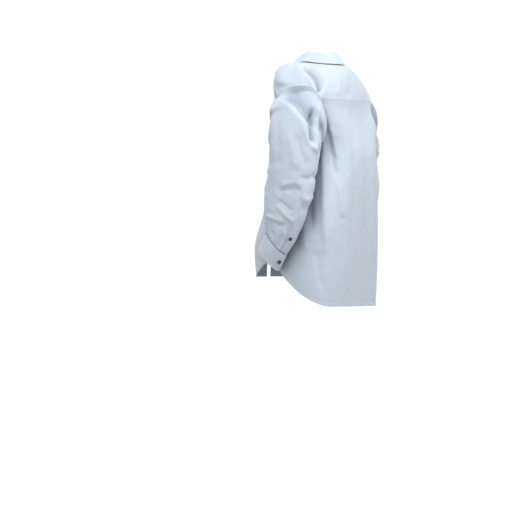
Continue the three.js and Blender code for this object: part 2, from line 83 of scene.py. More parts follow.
ARMHOLE_RADIUS = 95
ARMHOLE_LEAN = 10
BODY_SIDE = -1.35  # the body's edge of the armhole, inwards from its ring
YOKE_BACK_CORNER = 37  # degrees round the armhole from its rearmost point, upwards
YOKE_FRONT_CORNER = 140
SIDE_SEAM_CORNER = -100

NECK_HALF_WIDTH = 69
NECK_DEPTH_BACK = 65
NECK_DEPTH_FRONT = 77
NECK_BACK_DROP = -4
NECK_FRONT_DROP = 72
NECK_SLOPE_STARTS = 75
YOKE_DROP_CENTRE = 108
YOKE_CENTRE_Y = 141
YOKE_BACK_TURN = 60
YOKE_BACK_SHARE = 1 / 3  # of the way from centre back to the front seam
FRONT_SEAM_TURN = 115
SHOULDER_ROUND_BACK = 22
SHOULDER_ROUND_FRONT = 34

PLACKET_WIDTH = 34
STAND_HEIGHT = 34
STAND_FRONT = 26
STAND_LEAN = 3
STAND_END_TURN = 170
LEAF_END_TURN = 163
LEAF_FALLS = ((0, 40, 60, 85, 105, 125), (40.5, 37, 34.5, 31.5, 29.5, 29.5))  # by turn
LEAF_POINT = 62
LEAF_SPREAD = 24
LEAF_POINT_SPREAD = 38
SEAM_REST = 0.9

STATIONS = [  # along, x, y, drop, lean, tip, deep, wide
    (0, 184.8, 42, 163, 10, 0, 95, 95),
    (1 / 6, 226, 32, 210, 26, 0, 92, 78),
    (2 / 6, 248, 28, 280, 68, 2, 85, 60),
    (3 / 6, 260, 27, 350, 86, 5, 80, 53),
    (4 / 6, 269, 17, 425, 90, 12, 72, 48),
    (5 / 6, 275, 3, 490, 90, 28, 61, 42),
    (1, 278, -10, 545, 90, 48, 45, 33),
]
CUFF_STATION = np.array(STATIONS[-1], float)
CUFF_DEPTH = 54
CUFF_OVERLAP = 24
CUFF_LAP_AT = 20
CUFF_TIP_TO_AXIS = 28
SLEEVE_PLACKET_WIDTH = 22
SLEEVE_PLACKET_LENGTH = 110


def smooth(t):
    t = np.clip(t, 0, 1)
    return t * t * (3 - 2 * t)


def mix(a, b, t):
    return a + (b - a) * t


def vec(x, y, z):
    return np.stack(np.broadcast_arrays(x, y, z), -1).astype(float)


def unit(v):
    return v / np.maximum(np.linalg.norm(v, axis=-1, keepdims=True), 1e-9)


def sind(angle):
    return np.sin(np.radians(angle))


def cosd(angle):
    return np.cos(np.radians(angle))


def table(rows):
    """Reads rows of numbers at any value of their first column, on a smooth curve."""
    rows = np.array(rows, float)
    at, last = rows[:, 0], len(rows) - 1

    def read(t):
        t = np.clip(np.asarray(t, float), at[0], at[-1])
        i1 = np.clip(np.searchsorted(at, t, side="right"), 1, last)
        i0 = i1 - 1
        before = np.where(i0 == 0, i1, i0 - 1)
        after = np.where(i1 == last, i0, i1 + 1)
        half = (at[i1] - at[i0]) / 2
        wp, wn = half / (at[i0] - at[before]), half / (at[after] - at[i1])
        p = (t - at[i0]) / (2 * half)
        sp = -wp * p**3 + 2 * wp * p**2 - wp * p
        s0 = (1 + wp) * p**3 + (-1.5 - 2 * wp) * p**2 + (wp - 0.5) * p + 1
        s1 = (-1 - wn) * p**3 + (1.5 + wn) * p**2 + 0.5 * p
        sn = wn * p**3 - wn * p**2
        parts = ((sp, before), (s0, i0), (s1, i1), (sn, after))
        return sum(share[..., None] * rows[i] for share, i in parts)

    return read


body_level = table(BODY_LEVELS)
station_at = table(STATIONS)


def body_section(turn, drop):
    """A point of the body's own section; turn is in degrees from centre back to the left."""
    level = body_level(drop)
    side, rear = sind(turn), cosd(turn)
    power = np.where(rear > 0, BACK_SQUARENESS, FRONT_SQUARENESS)
    depth = np.where(rear > 0, level[..., 2], level[..., 3])
    total = np.abs(side / level[..., 1]) ** power + np.abs(rear / depth) ** power
    radius = total ** (-1 / power)
    return vec(radius * side, BODY_MIDDLE_Y + radius * rear, -drop)


ARMHOLE_CENTRE = np.array((184.0, 42.0, -163.0))
ARMHOLE_UP = np.array((sind(ARMHOLE_LEAN), 0, cosd(ARMHOLE_LEAN)))
ARMHOLE_OUT = np.array((cosd(ARMHOLE_LEAN), 0, -sind(ARMHOLE_LEAN)))


def armhole(angle, off):
    """Round the left armhole: 0 is its rearmost point and 90 its top."""
    angle = np.asarray(angle, float)[..., None]
    ring = cosd(angle) * np.array((0, 1.0, 0)) + sind(angle) * ARMHOLE_UP
    return ARMHOLE_CENTRE + ARMHOLE_RADIUS * ring + off * ARMHOLE_OUT


def neck_seam(turn):
    slope = smooth((np.abs(turn) - NECK_SLOPE_STARTS) / (180 - NECK_SLOPE_STARTS))
    depth = np.where(cosd(turn) > 0, NECK_DEPTH_BACK, NECK_DEPTH_FRONT)
    drop = mix(NECK_BACK_DROP, NECK_FRONT_DROP, slope)
    return vec(NECK_HALF_WIDTH * sind(turn), depth * cosd(turn), -drop)


YOKE_CORNER = armhole(YOKE_BACK_CORNER, BODY_SIDE)


def yoke_seam(share):
    bow = (1 - share**2.4) * (YOKE_CENTRE_Y - YOKE_CORNER[1])
    drop = mix(YOKE_DROP_CENTRE, -YOKE_CORNER[2], share)
    return vec(YOKE_CORNER[0] * share, YOKE_CORNER[1] + bow, -drop)


def half_yoke(share, reach):
    """The left half: share 0 is centre back, 1 the front seam; reach runs out from the neck."""
    share, reach = np.broadcast_arrays(share, reach)
    behind = share < YOKE_BACK_SHARE
    back = np.clip(share / YOKE_BACK_SHARE, 0, 1)
    ahead = np.clip((share - YOKE_BACK_SHARE) / (1 - YOKE_BACK_SHARE), 0, 1)
    inner = neck_seam(np.where(behind, mix(0, 37.5, back), mix(37.5, FRONT_SEAM_TURN, ahead)))
    rim = armhole(mix(YOKE_BACK_CORNER, YOKE_FRONT_CORNER, ahead), BODY_SIDE)
    outer = np.where(behind[..., None], yoke_seam(back), rim)
    swell = np.sin(np.pi * reach)
    front = smooth((share - 0.55) / 0.45)
    round_by = mix(SHOULDER_ROUND_BACK, SHOULDER_ROUND_FRONT, front)
    lean = mix(0.7, -0.85, smooth((share - 0.3) / 0.6))
    point = mix(inner, outer, reach[..., None])
    point[..., 1] += lean * round_by * swell
    point[..., 2] += (0.9 - 0.4 * front) * round_by * swell
    return point


def yoke(u, v):
    point = half_yoke(np.abs(1 - 2 * u) * 0.998, mix(0.002, 0.998, v))
    point[..., 0] *= np.where(u < 0.5, 1, -1)
    return point


def fall_from(seam, turn, drop):
    """Lets cloth fall from a seam point to the body's section at a level."""
    share = np.clip((drop + seam[..., 2]) / SETTLE_LENGTH, 0, 1)
    starts = smooth((turn - YOKE_BACK_TURN) / EASE_TURN + 1)
    beside = starts * (1 - smooth((turn - ARM_END_TURN) / EASE_TURN))
    settled = mix(smooth(share), 1 - (1 - share) ** 2, beside)
    target = body_section(turn, drop)
    x = mix(seam[..., 0], target[..., 0], settled)
    y = mix(seam[..., 1], target[..., 1], settled)
    return vec(x, y, -drop)


def back_hem_drop(turn):
    climb = np.clip((np.abs(turn) - TAIL_FLAT_TURN) / (SIDE_TURN - TAIL_FLAT_TURN), 0, 1)
    return mix(BACK_LENGTH, NOTCH_DROP, climb**TAIL_CURVE_POWER)


def front_hem_drop(turn):
    return mix(NOTCH_DROP, FRONT_LENGTH, smooth((turn - SIDE_TURN) / FRONT_HEM_CURVE_TURN))


def back_top(turn):
    turn = np.abs(turn)
    under = np.clip((turn - YOKE_BACK_TURN) / (SIDE_TURN - YOKE_BACK_TURN), 0, 1)
    rim = armhole(mix(YOKE_BACK_CORNER, SIDE_SEAM_CORNER, under), BODY_SIDE)
    seam = yoke_seam(np.clip(turn / YOKE_BACK_TURN, 0, 1))
    return np.where((turn <= YOKE_BACK_TURN)[..., None], seam, rim)


def back_at(turn, drop):
    point = fall_from(back_top(turn), np.abs(turn), drop)
    point[..., 0] *= np.where(turn < 0, -1, 1)
    return point


def front_top(turn):
    """The left front's top edge: armhole, then the yoke's front seam, then the neck."""
    turn = np.asarray(turn, float)
    under = np.clip((turn - SIDE_TURN) / (ARM_END_TURN - SIDE_TURN), 0, 1)
    rim = armhole(mix(SIDE_SEAM_CORNER, YOKE_FRONT_CORNER - 360, under), BODY_SIDE)
    out = np.clip((NECK_START_TURN - turn) / (NECK_START_TURN - ARM_END_TURN), 0, 1)
    seam = half_yoke(np.ones_like(turn), out)
    round_neck = np.clip((turn - NECK_START_TURN) / (180 - NECK_START_TURN), 0, 1)
    neck = neck_seam(mix(FRONT_SEAM_TURN, 180, round_neck))
    top = np.where((turn <= NECK_START_TURN)[..., None], seam, neck)
    return np.where((turn <= ARM_END_TURN)[..., None], rim, top)


def front_at(turn, drop):
    return fall_from(front_top(turn), turn, drop)


def turn_at_x(x, drop):
    """The column that stands a distance out from the middle, at a level."""
    outer = np.full(np.shape(x), float(ARM_END_TURN))
    inner = np.full(np.shape(x), 180.0)
    for _ in range(24):
        turn = (outer + inner) / 2
        lowest = np.maximum(drop, -front_top(turn)[..., 2] + SEAM_REST)
        far = front_at(turn, lowest)[..., 0] > x
        outer, inner = np.where(far, turn, outer), np.where(far, inner, turn)
    return (outer + inner) / 2


def collar_front(turn, end):
    return smooth((np.abs(turn) - NECK_SLOPE_STARTS) / (end - NECK_SLOPE_STARTS))


def stand_point(turn, rise):
    height = mix(STAND_HEIGHT, STAND_FRONT, collar_front(turn, STAND_END_TURN))
    foot = neck_seam(turn)
    away = collar_away(foot)
    lean = np.asarray(STAND_LEAN * (0.5 + rise), float)[..., None]
    foot = foot - away * lean
    foot[..., 2] += SEAM_REST + height * rise
    return foot


def collar_away(foot):
    return unit(vec(foot[..., 0] / NECK_HALF_WIDTH, foot[..., 1] / NECK_DEPTH_FRONT, 0))


def station_point(station, angle, grow):
    """A point of an oval arm station: angle 0 is its rearmost point and 90 its outer side."""
    x, y, drop, lean, tip, deep, wide = (station[..., i] for i in range(1, 8))
    back = vec(0, cosd(tip), -sind(tip))
    up = vec(sind(lean), 0, cosd(lean))
    reach_back = ((deep + grow) * cosd(angle))[..., None]
    reach_up = ((wide + grow) * sind(angle))[..., None]
    return vec(x, y, -drop) + back * reach_back + up * reach_up


def sleeve_at(angle, along):
    return station_point(station_at(along), angle, 0)


WRIST_WAY = np.array((0, -sind(CUFF_TIP_TO_AXIS), -cosd(CUFF_TIP_TO_AXIS)))

# ---------------------------------------------------------------- folds

BACK_MM_PER_TURN = 2.9
FRONT_MM_PER_TURN = 2.4
ARM_MM_PER_TURN = 1.3
ARM_MM_ALONG = 450
YOKE_MM_ROUND = 720
YOKE_MM_REACH = 120
FOLD_SOFTNESS = 0.45
FOLD_TAPER = 0.22  # share of its line over which a fold dies away at each end


def crease(x, y, height, near, far, path):
    """The height of one fold: a line of (x, y) points with a slope of its own on each side."""
    path = np.array(path, float)
    lengths = np.linalg.norm(np.diff(path, axis=0), axis=1)
    total, start = lengths.sum(), 0.0
    best = np.full(x.shape, 1e9)
    signed, place = np.zeros(x.shape), np.zeros(x.shape)
    for a, b, length in zip(path[:-1], path[1:], lengths):
        way = (b - a) / length
        px, py = x - a[0], y - a[1]
        t = np.clip(px * way[0] + py * way[1], 0, length)
        dx, dy = px - t * way[0], py - t * way[1]
        away = np.hypot(dx, dy)
        closer = away < best
        side = np.sign(way[0] * dy - way[1] * dx)
        best = np.where(closer, away, best)
        signed = np.where(closer, side, signed)
        place = np.where(closer, (start + t) / total, place)
        start += length
    width = np.where(signed > 0, far, near)
    profile = np.exp(FOLD_SOFTNESS - np.sqrt((best / width) ** 2 + FOLD_SOFTNESS**2))
    taper = smooth(place / FOLD_TAPER + 0.08) * smooth((1 - place) / FOLD_TAPER + 0.08)
    return height * profile * taper


def creases(x, y, scale, folds):
    total = np.zeros(np.broadcast(x, y).shape)
    x, y = np.broadcast_arrays(x, y)
    for height, near, far, path in folds:
        points = [(px * scale[0], py * scale[1]) for px, py in path]
        total += crease(x, y, height, near, far, points)
    return total


def crumple(x, y, seed, size, count=7):
    """Small sharp-edged creasing from crossed waves, about -0.5 to 0.5."""
    draw = np.random.default_rng(seed)
    total = np.zeros(np.broadcast(x, y).shape)
    for _ in range(count):
        way = draw.uniform(0, 2 * np.pi)
        wave = 2 * np.pi / (size * draw.uniform(0.7, 1.9))
        bend_x, bend_y = draw.uniform(-1.2, 1.2, 2)
        phase = wave * (x * np.cos(way) + y * np.sin(way)) + draw.uniform(0, 2 * np.pi)
        phase = phase + bend_x * np.sin(wave * 0.43 * y) + bend_y * np.sin(wave * 0.37 * x)
        total += 1 - np.abs(np.sin(phase)) - 0.36
    return total / count * 1.6


SLEEVE_FOLDS = [  # height, width on each side, (angle, along) points
    (-36, 7, 28, [(130, 0.03), (108, 0.08), (88, 0.122), (66, 0.165), (46, 0.185), (30, 0.19)]),
    (11, 12, 6, [(126, 0.08), (107, 0.125), (82, 0.182), (62, 0.215), (48, 0.23)]),
    (-20, 9, 9, [(50, 0.09), (42, 0.14), (38, 0.19), (38, 0.235), (34, 0.265), (20, 0.29)]),
    (-12, 26, 26, [(-4, 0.06), (-8, 0.14), (-10, 0.22)]),
    (8, 6, 7, [(56, 0.208), (53, 0.25), (44, 0.28), (26, 0.305), (6, 0.315)]),
    (7, 4, 17, [(33, 0.04), (25, 0.10), (17, 0.17), (9, 0.24), (1, 0.30)]),
    (-5, 22, 22, [(10, 0.09), (2, 0.16), (-8, 0.24)]),
    (11, 20, 20, [(142, 0.03), (140, 0.075), (146, 0.14)]),
    (-6, 26, 26, [(160, 0.24), (160, 0.34), (160, 0.46)]),
    (3.2, 8, 8, [(150, 0.03), (136, 0.14), (129, 0.24), (127, 0.40)]),
    (-2.5, 9, 9, [(116, 0.20), (108, 0.32), (104, 0.46)]),
    (3.0, 8, 8, [(88, 0.26), (74, 0.36), (66, 0.45)]),
    (-3.0, 7, 9, [(70, 0.27), (54, 0.36), (38, 0.43)]),
    (3.6, 6, 7, [(100, 0.56), (84, 0.54), (64, 0.525), (46, 0.54)]),
    (-3.6, 6, 6, [(104, 0.59), (82, 0.572), (60, 0.56), (38, 0.58)]),
    (-6, 9, 8, [(60, 0.50), (30, 0.49), (0, 0.47), (-50, 0.48)]),
    (4, 7, 7, [(48, 0.60), (24, 0.62), (-6, 0.60), (-50, 0.61)]),
    (-4, 7, 7, [(40, 0.68), (18, 0.67), (-14, 0.66), (-60, 0.68)]),
    (-3.5, 8, 8, [(140, 0.52), (160, 0.50), (190, 0.49), (230, 0.50)]),
    (3.5, 8, 8, [(150, 0.60), (175, 0.58), (215, 0.58)]),
    (3.4, 5, 6, [(128, 0.80), (108, 0.795), (88, 0.79), (66, 0.785)]),
    (-3.6, 5, 6, [(124, 0.835), (100, 0.825), (78, 0.815), (58, 0.80)]),
    (-4, 4, 4, [(108, 0.83), (106, 0.87), (105, 0.95)]),
    (2.5, 5, 5, [(84, 0.86), (80, 0.92), (78, 1.0)]),
    (-2.5, 5, 5, [(62, 0.86), (60, 0.92), (60, 1.0)]),
    (3, 6, 6, [(36, 0.72), (50, 0.76), (70, 0.74), (92, 0.70), (108, 0.68)]),
    (-3, 6, 6, [(52, 0.70), (74, 0.675), (96, 0.645)]),
    (-4, 8, 8, [(-120, 0.2), (-100, 0.3), (-95, 0.45)]),
    (-3, 8, 8, [(-60, 0.72), (-100, 0.75), (-150, 0.73)]),
]
YOKE_FOLDS = [  # (way round, reach) points
    (-22, 13, 6, [(0.160, 0.48), (0.205, 0.64), (0.245, 0.80), (0.305, 1.06)]),
    (8, 4, 9, [(0.128, 0.58), (0.175, 0.76), (0.215, 0.90), (0.262, 1.06)]),
    (9, 30, 30, [(0.02, 0.55), (0.06, 0.75), (0.05, 0.95)]),
    (2.4, 10, 10, [(0.072, 0.36), (0.11, 0.62), (0.15, 0.83), (0.19, 1.0)]),
    (-2.4, 16, 16, [(0.33, 0.45), (0.345, 0.67), (0.35, 0.9)]),
    (2.0, 12, 12, [(0.40, 0.3), (0.39, 0.65), (0.385, 1.0)]),
    (-2.8, 12, 12, [(0.55, 0.40), (0.50, 0.62), (0.455, 0.85), (0.43, 1.02)]),
    (2.6, 9, 9, [(0.62, 0.5), (0.57, 0.75), (0.545, 1.0)]),
    (-5, 11, 11, [(0.84, 0.52), (0.79, 0.70), (0.74, 0.86), (0.70, 1.02)]),
    (3.6, 6, 6, [(0.87, 0.64), (0.83, 0.80), (0.78, 1.0)]),
]
BACK_FOLDS = [  # (turn, drop) points
    (9, 5, 14, [(59, 112), (61.5, 200), (63, 300), (63.5, 420), (63, 590)]),
    (-17, 15, 12, [(74, 165), (75, 240), (76, 330), (75, 430), (72, 530)]),
    (-6, 6, 6, [(55.5, 130), (55, 200), (53, 270), (52, 360)]),
    (8, 20, 20, [(-36, 132), (-40, 180), (-42, 260), (-43, 420)]),
    (4.0, 4, 5, [(51, 190), (51, 236), (49, 290)]),
    (4.0, 5, 6, [(50, 360), (49, 420), (46, 470)]),
    (2.4, 10, 9, [(31, 150), (37, 260), (41, 415), (40, 560), (38, 700)]),
    (-2.0, 12, 12, [(24, 160), (29, 300), (33, 450), (31, 620)]),
    (2.0, 14, 14, [(10, 150), (13, 320), (16, 520), (15, 700)]),
    (-2.0, 15, 15, [(-6, 170), (-4, 330), (-1, 520), (2, 690)]),
    (2.2, 13, 13, [(-20, 150), (-23, 300), (-21, 470), (-22, 690)]),
    (-2.2, 11, 11, [(-34, 220), (-36, 380), (-34, 560)]),
    (5, 7, 8, [(-31, 108), (-36, 150), (-42, 215), (-44, 300)]),
    (5, 6, 12, [(-59, 118), (-61, 220), (-62, 330), (-60, 480), (-58, 620)]),
    (-9, 13, 13, [(-72, 170), (-74, 260), (-74, 350), (-71, 480)]),
    (3, 5, 6, [(81, 455), (79, 510), (76.5, 575)]),
    (-4, 6, 6, [(87, 440), (85, 500), (83, 580)]),
    (-3, 7, 7, [(70, 560), (67, 620), (64, 690)]),
    (3, 7, 7, [(-78, 500), (-74, 580), (-70, 650)]),
]
FRONT_FOLDS = [  # (turn, drop) points of either front
    (4, 10, 9, [(128, 100), (131, 200), (130, 330), (133, 480), (136, 640)]),
    (-4, 12, 12, [(121, 150), (122, 260), (123, 400), (126, 560)]),
    (3, 10, 10, [(146, 130), (147, 260), (150, 420), (149, 600)]),
    (-2.5, 12, 12, [(139, 160), (140, 300), (142, 450), (143, 600)]),
    (-2, 12, 12, [(158, 180), (160, 340), (158, 520)]),
    (-5, 9, 9, [(112, 220), (112, 300), (113, 400)]),
]

# ---------------------------------------------------------------- sheets as grids


def normals(points, wraps=False):
    """Outward, for a grid that is seen from outside with columns to the right and rows down."""
    down = np.gradient(points, axis=0)
    if wraps:
        across = np.roll(points, -1, axis=1) - np.roll(points, 1, axis=1)
    else:
        across = np.gradient(points, axis=1)
    return unit(np.cross(down, across))


def lift(points, height, wraps=False):
    return points + normals(points, wraps) * np.asarray(height, float)[..., None]


def flipped(points):
    """The same grid on the wearer's other side."""
    return points[:, ::-1] * (-1, 1, 1)


def read_grid(points, rows, cols):
    """Points of a grid at broken row and column numbers."""
    rows = np.clip(rows, 0, points.shape[0] - 1.000001)
    cols = np.clip(cols, 0, points.shape[1] - 1.000001)
    r, c = rows.astype(int), cols.astype(int)
    fr, fc = (rows - r)[..., None], (cols - c)[..., None]
    top = mix(points[r, c], points[r, c + 1], fc)
    return mix(top, mix(points[r + 1, c], points[r + 1, c + 1], fc), fr)


def spaced(low, high, step, edges=(), band=1.2):
    """Even steps from low to high, with close steps across each edge."""
    values = list(np.linspace(low, high, max(2, round(abs(high - low) / step) + 1)))
    for edge in edges:
        values += [edge - band / 2, edge + band / 2]
    keep = sorted({round(v, 4) for v in values if low <= v <= high})
    return np.array(keep)


VIEW_RIGHT = np.array([-0.3746, 0.9272, 0.0])
SWELLS = [  # names it acts on, middle, reach along x y z, push, also on the other side
    ("", (150, -45, -12), (75, 70, 75), VIEW_RIGHT * -11 + (0, 0, 19), True),
    ("", (176, -52, -85), (60, 55, 45), VIEW_RIGHT * -11, True),
    ("_sleeve", (235, -70, -275), (110, 70, 130), VIEW_RIGHT * 8, True),
    ("left_", (120, -100, -545), (75, 60, 85), VIEW_RIGHT * -17, False),
    ("", (-150, 156, -166), (60, 50, 45), VIEW_RIGHT * 6, True),
    ("", (-15, 82, 3), (90, 45, 40), np.array([0, 11, 5]), False),
    ("", (192, 134, -150), (55, 48, 85), VIEW_RIGHT * -27, False),
]


def swollen(name, verts):
    """Soft pushes in space, so that whatever meets there moves together."""
    moved = np.asarray(verts, float).copy()
    start = moved.copy()
    for names, middle, reach, push, both in SWELLS:
        if names in name:
            for side in (1, -1) if both else (1,):
                mirror = np.array([side, 1, 1])
                away = (start - np.array(middle) * mirror) / reach
                moved += np.exp(-(away**2).sum(1))[:, None] * (push * mirror)
    return moved


def make_mesh(name, verts, faces, material, smooth_shade=True):
    mesh = bpy.data.meshes.new(name)
    mesh.from_pydata((swollen(name, verts) * MM).tolist(), [], [list(f) for f in faces])
    mesh.validate()
    mesh.update()
    if smooth_shade:
        mesh.shade_smooth()
        mesh.set_sharp_from_angle(angle=math.radians(48))
    obj = bpy.data.objects.new(name, mesh)
    bpy.context.scene.collection.objects.link(obj)
    mesh.materials.append(material)
    return obj


def add_uv(obj, per_vertex):
    """Keeps the cut cloth's own coordinates, in metres, for its weave."""
    layer = obj.data.uv_layers.new(name="cut")
    index = np.empty(len(obj.data.loops), int)
    obj.data.loops.foreach_get("vertex_index", index)
    layer.data.foreach_set("uv", (per_vertex[index] * MM).astype(np.float32).ravel())


def grid_faces(rows, cols, first, wraps, flip):
    r = np.arange(rows - 1)[:, None]
    c = np.arange(cols if wraps else cols - 1)[None, :]
    right = (c + 1) % cols
    a, b = first + r * cols + c, first + r * cols + right
    d, e = first + (r + 1) * cols + c, first + (r + 1) * cols + right
    quads = np.stack([a, d, e, b], -1).reshape(-1, 4)
    return quads[:, ::-1] if flip else quads


def sheet_mesh(name, points, material, thick=0.7, wraps=False):
    """A closed thin sheet: an outer and an inner layer and the rim between them."""
    rows, cols = points.shape[:2]
    half = normals(points, wraps) * (np.broadcast_to(thick, (rows, cols)) / 2)[..., None]
    verts = np.concatenate([(points + half).reshape(-1, 3), (points - half).reshape(-1, 3)])
    count = rows * cols
    faces = [grid_faces(rows, cols, 0, wraps, False), grid_faces(rows, cols, count, wraps, True)]
    index = np.arange(count).reshape(rows, cols)
    if wraps:
        loops = [np.append(index[0], index[0, 0]), np.append(index[-1], index[-1, 0])[::-1]]
    else:
        around = [index[0], index[1:, -1], index[-1, -2::-1], index[-2::-1, 0]]
        loops = [np.concatenate(around)]
    for loop in loops:
        a, b = loop[:-1], loop[1:]
        faces.append(np.stack([a, b, b + count, a + count], -1))
    obj = make_mesh(name, verts, np.concatenate(faces), material)
    across = np.linalg.norm(np.diff(points, axis=1, append=points[:, -1:]), axis=-1).cumsum(1)
    down = np.linalg.norm(np.diff(points, axis=0, append=points[-1:]), axis=-1).cumsum(0)
    uv = np.stack([across, down], -1).reshape(-1, 2)
    add_uv(obj, np.concatenate([uv, uv]))
    return obj


def tube_points(path, side, top, radius, sides):
    """Rings of points round a path, each in the plane of its side and top ways."""
    angle = (np.arange(sides) * 2 * np.pi / sides)[None, :, None]
    ring = side[:, None] * np.cos(angle) + top[:, None] * np.sin(angle)
    return (path[:, None] + ring * radius).reshape(-1, 3)


def tube_faces(rings, sides, closed):
    faces = []
    for i in range(rings if closed else rings - 1):
        j = (i + 1) % rings
        for k in range(sides):
            m = (k + 1) % sides
            faces.append((i * sides + k, i * sides + m, j * sides + m, j * sides + k))
    if not closed:
        faces += [tuple(range(sides))[::-1], tuple((rings - 1) * sides + k for k in range(sides))]
    return faces


def tube_mesh(name, path, radius, material, closed=False, sides=8, flat=1.0, up=None):
    """A cord of cloth or thread along a path."""
    path = np.asarray(path, float)
    if closed:
        way = unit(np.roll(path, -1, 0) - np.roll(path, 1, 0))
    else:
        way = unit(np.gradient(path, axis=0))
    guide = np.broadcast_to((0, 0, 1.0) if up is None else up, path.shape)
    side = unit(np.cross(way, guide + 1e-6))
    verts = tube_points(path, side, np.cross(side, way) * flat, radius, sides)
    return make_mesh(name, verts, tube_faces(len(path), sides, closed), material)


STITCH = 2.7
STITCH_GAP = 0.9
STITCH_WIDTH = 0.5
STITCH_HEIGHT = 0.42
STITCH_SUNK = 0.15


def stitch_parts(path, outward):
    """Separate stitches of thread along a line on cloth: their points and faces."""
    step = np.linalg.norm(np.diff(path, axis=0), axis=1)
    run = np.concatenate([[0], step.cumsum()])
    count = max(1, int(run[-1] // (STITCH + STITCH_GAP)))
    middle = (np.arange(count) + 0.5) * run[-1] / count

    def at(values, s):
        return np.stack([np.interp(s, run, values[:, i]) for i in range(3)], -1)

    a, b = at(path, middle - STITCH / 2), at(path, middle + STITCH / 2)
    centre, up = (a + b) / 2, unit(at(outward, middle))
    across = unit(np.cross(up, b - a)) * STITCH_WIDTH / 2
    ends = [a - up * STITCH_SUNK, b - up * STITCH_SUNK]
    verts = np.stack([*ends, centre + across, centre - across, centre + up * STITCH_HEIGHT], 1)
    faces = np.array([(0, 3, 4), (3, 1, 4), (1, 2, 4), (2, 0, 4), (0, 2, 3), (2, 1, 3)])
    faces = faces[None] + np.arange(count)[:, None, None] * 5
    return verts.reshape(-1, 3), faces.reshape(-1, 3)


class Seams:
    """Gathers the stitching of one piece into one mesh."""

    def __init__(self):
        self.verts, self.faces, self.count = [], [], 0

    def add(self, grid, rows, cols, thick=0.7, wraps=False):
        rows, cols = np.broadcast_arrays(np.asarray(rows, float), np.asarray(cols, float))
        out = normals(grid, wraps)
        path, up = read_grid(grid, rows, cols), unit(read_grid(out, rows, cols))
        self.add_part(*stitch_parts(path + up * thick / 2, up))

    def along(self, grid, row, first, last, count, thick=0.7, wraps=False):
        self.add(grid, np.full(count, row), np.linspace(first, last, count), thick, wraps)

    def down(self, grid, col, first, last, count, thick=0.7):
        self.add(grid, np.linspace(first, last, count), np.full(count, col), thick)

    def add_part(self, verts, faces):
        self.verts.append(verts)
        self.faces.append(faces + self.count)
        self.count += len(verts)

    def finish(self, name, follow, side=""):
        verts, faces = np.concatenate(self.verts), np.concatenate(self.faces)
        finish_piece(make_mesh(name, verts, faces, THREAD, False), follow, side, "cotton")


def field(across, down):
    """A grid's values along its rows and down its columns."""
    return np.broadcast_arrays(np.asarray(across)[None, :], np.asarray(down)[:, None])


def mirror_of(side):
    return np.array((1 if side == "left" else -1, 1, 1))


def row_of(values, value):
    """The broken index of a value in a rising or falling list."""
    values = np.asarray(values, float)
    order = np.arange(len(values), dtype=float)
    if values[0] > values[-1]:
        return np.interp(-value, -values, order)
    return np.interp(value, values, order)

# ---------------------------------------------------------------- materials


class Nodes:
    """Short calls for building one material's nodes."""

    def __init__(self, name, color, roughness, sheen=0.0, coat=0.0):
        self.material = bpy.data.materials.new(name)
        self.material.use_nodes = True
        self.tree = self.material.node_tree
        self.shader = self.tree.nodes["Principled BSDF"]
        self.set("Base Color", (*color, 1))
        self.set("Roughness", roughness)
        self.set("Sheen Weight", sheen)
        self.set("Sheen Roughness", 0.45)
        self.set("Coat Weight", coat)
        self.set("Specular IOR Level", 0.3)
        self.material.diffuse_color = (*color, 1)

    def set(self, socket, value):
        self.shader.inputs[socket].default_value = value

    def node(self, kind, **values):
        made = self.tree.nodes.new(kind)
        for key, value in values.items():
            if key in made.inputs:
                made.inputs[key].default_value = value
            else:
                setattr(made, key.lower().replace(" ", "_"), value)
        return made

    def link(self, source, target):
        self.tree.links.new(source, target)
        return source.node

    def math(self, operation, a, b):
        made = self.node("ShaderNodeMath", operation=operation)
        for i, value in enumerate((a, b)):
            if isinstance(value, (int, float)):
                made.inputs[i].default_value = value
            else:
                self.link(value, made.inputs[i])
        return made.outputs[0]

    def mixed(self, share, low, high):
        made = self.node("ShaderNodeMix", data_type="RGBA")
        for socket, value in ((made.inputs[6], low), (made.inputs[7], high)):
            if isinstance(value, tuple):
                socket.default_value = (*value, 1)
            else:
                self.link(value, socket)
        self.link(share, made.inputs[0])
        return made.outputs[2]

    def bump(self, height, strength, distance, under=None):
        made = self.node("ShaderNodeBump", Strength=strength, Distance=distance)
        self.link(height, made.inputs["Height"])
        if under is not None:
            self.link(under, made.inputs["Normal"])
        return made.outputs["Normal"]


def tinted(color, by):
    return tuple(c * by for c in color)


THREAD_PITCH = 0.00055  # metres between the threads of the weave
PAINTED_SHADE_REACH = 0.085  # painted shade: cloth this near other cloth has its base colour darkened, standing in for shade in creases and hollows
# painted shade: the base colour in the deepest hollows falls to this share of its own
PAINTED_SHADE_DARKEST = 0.58


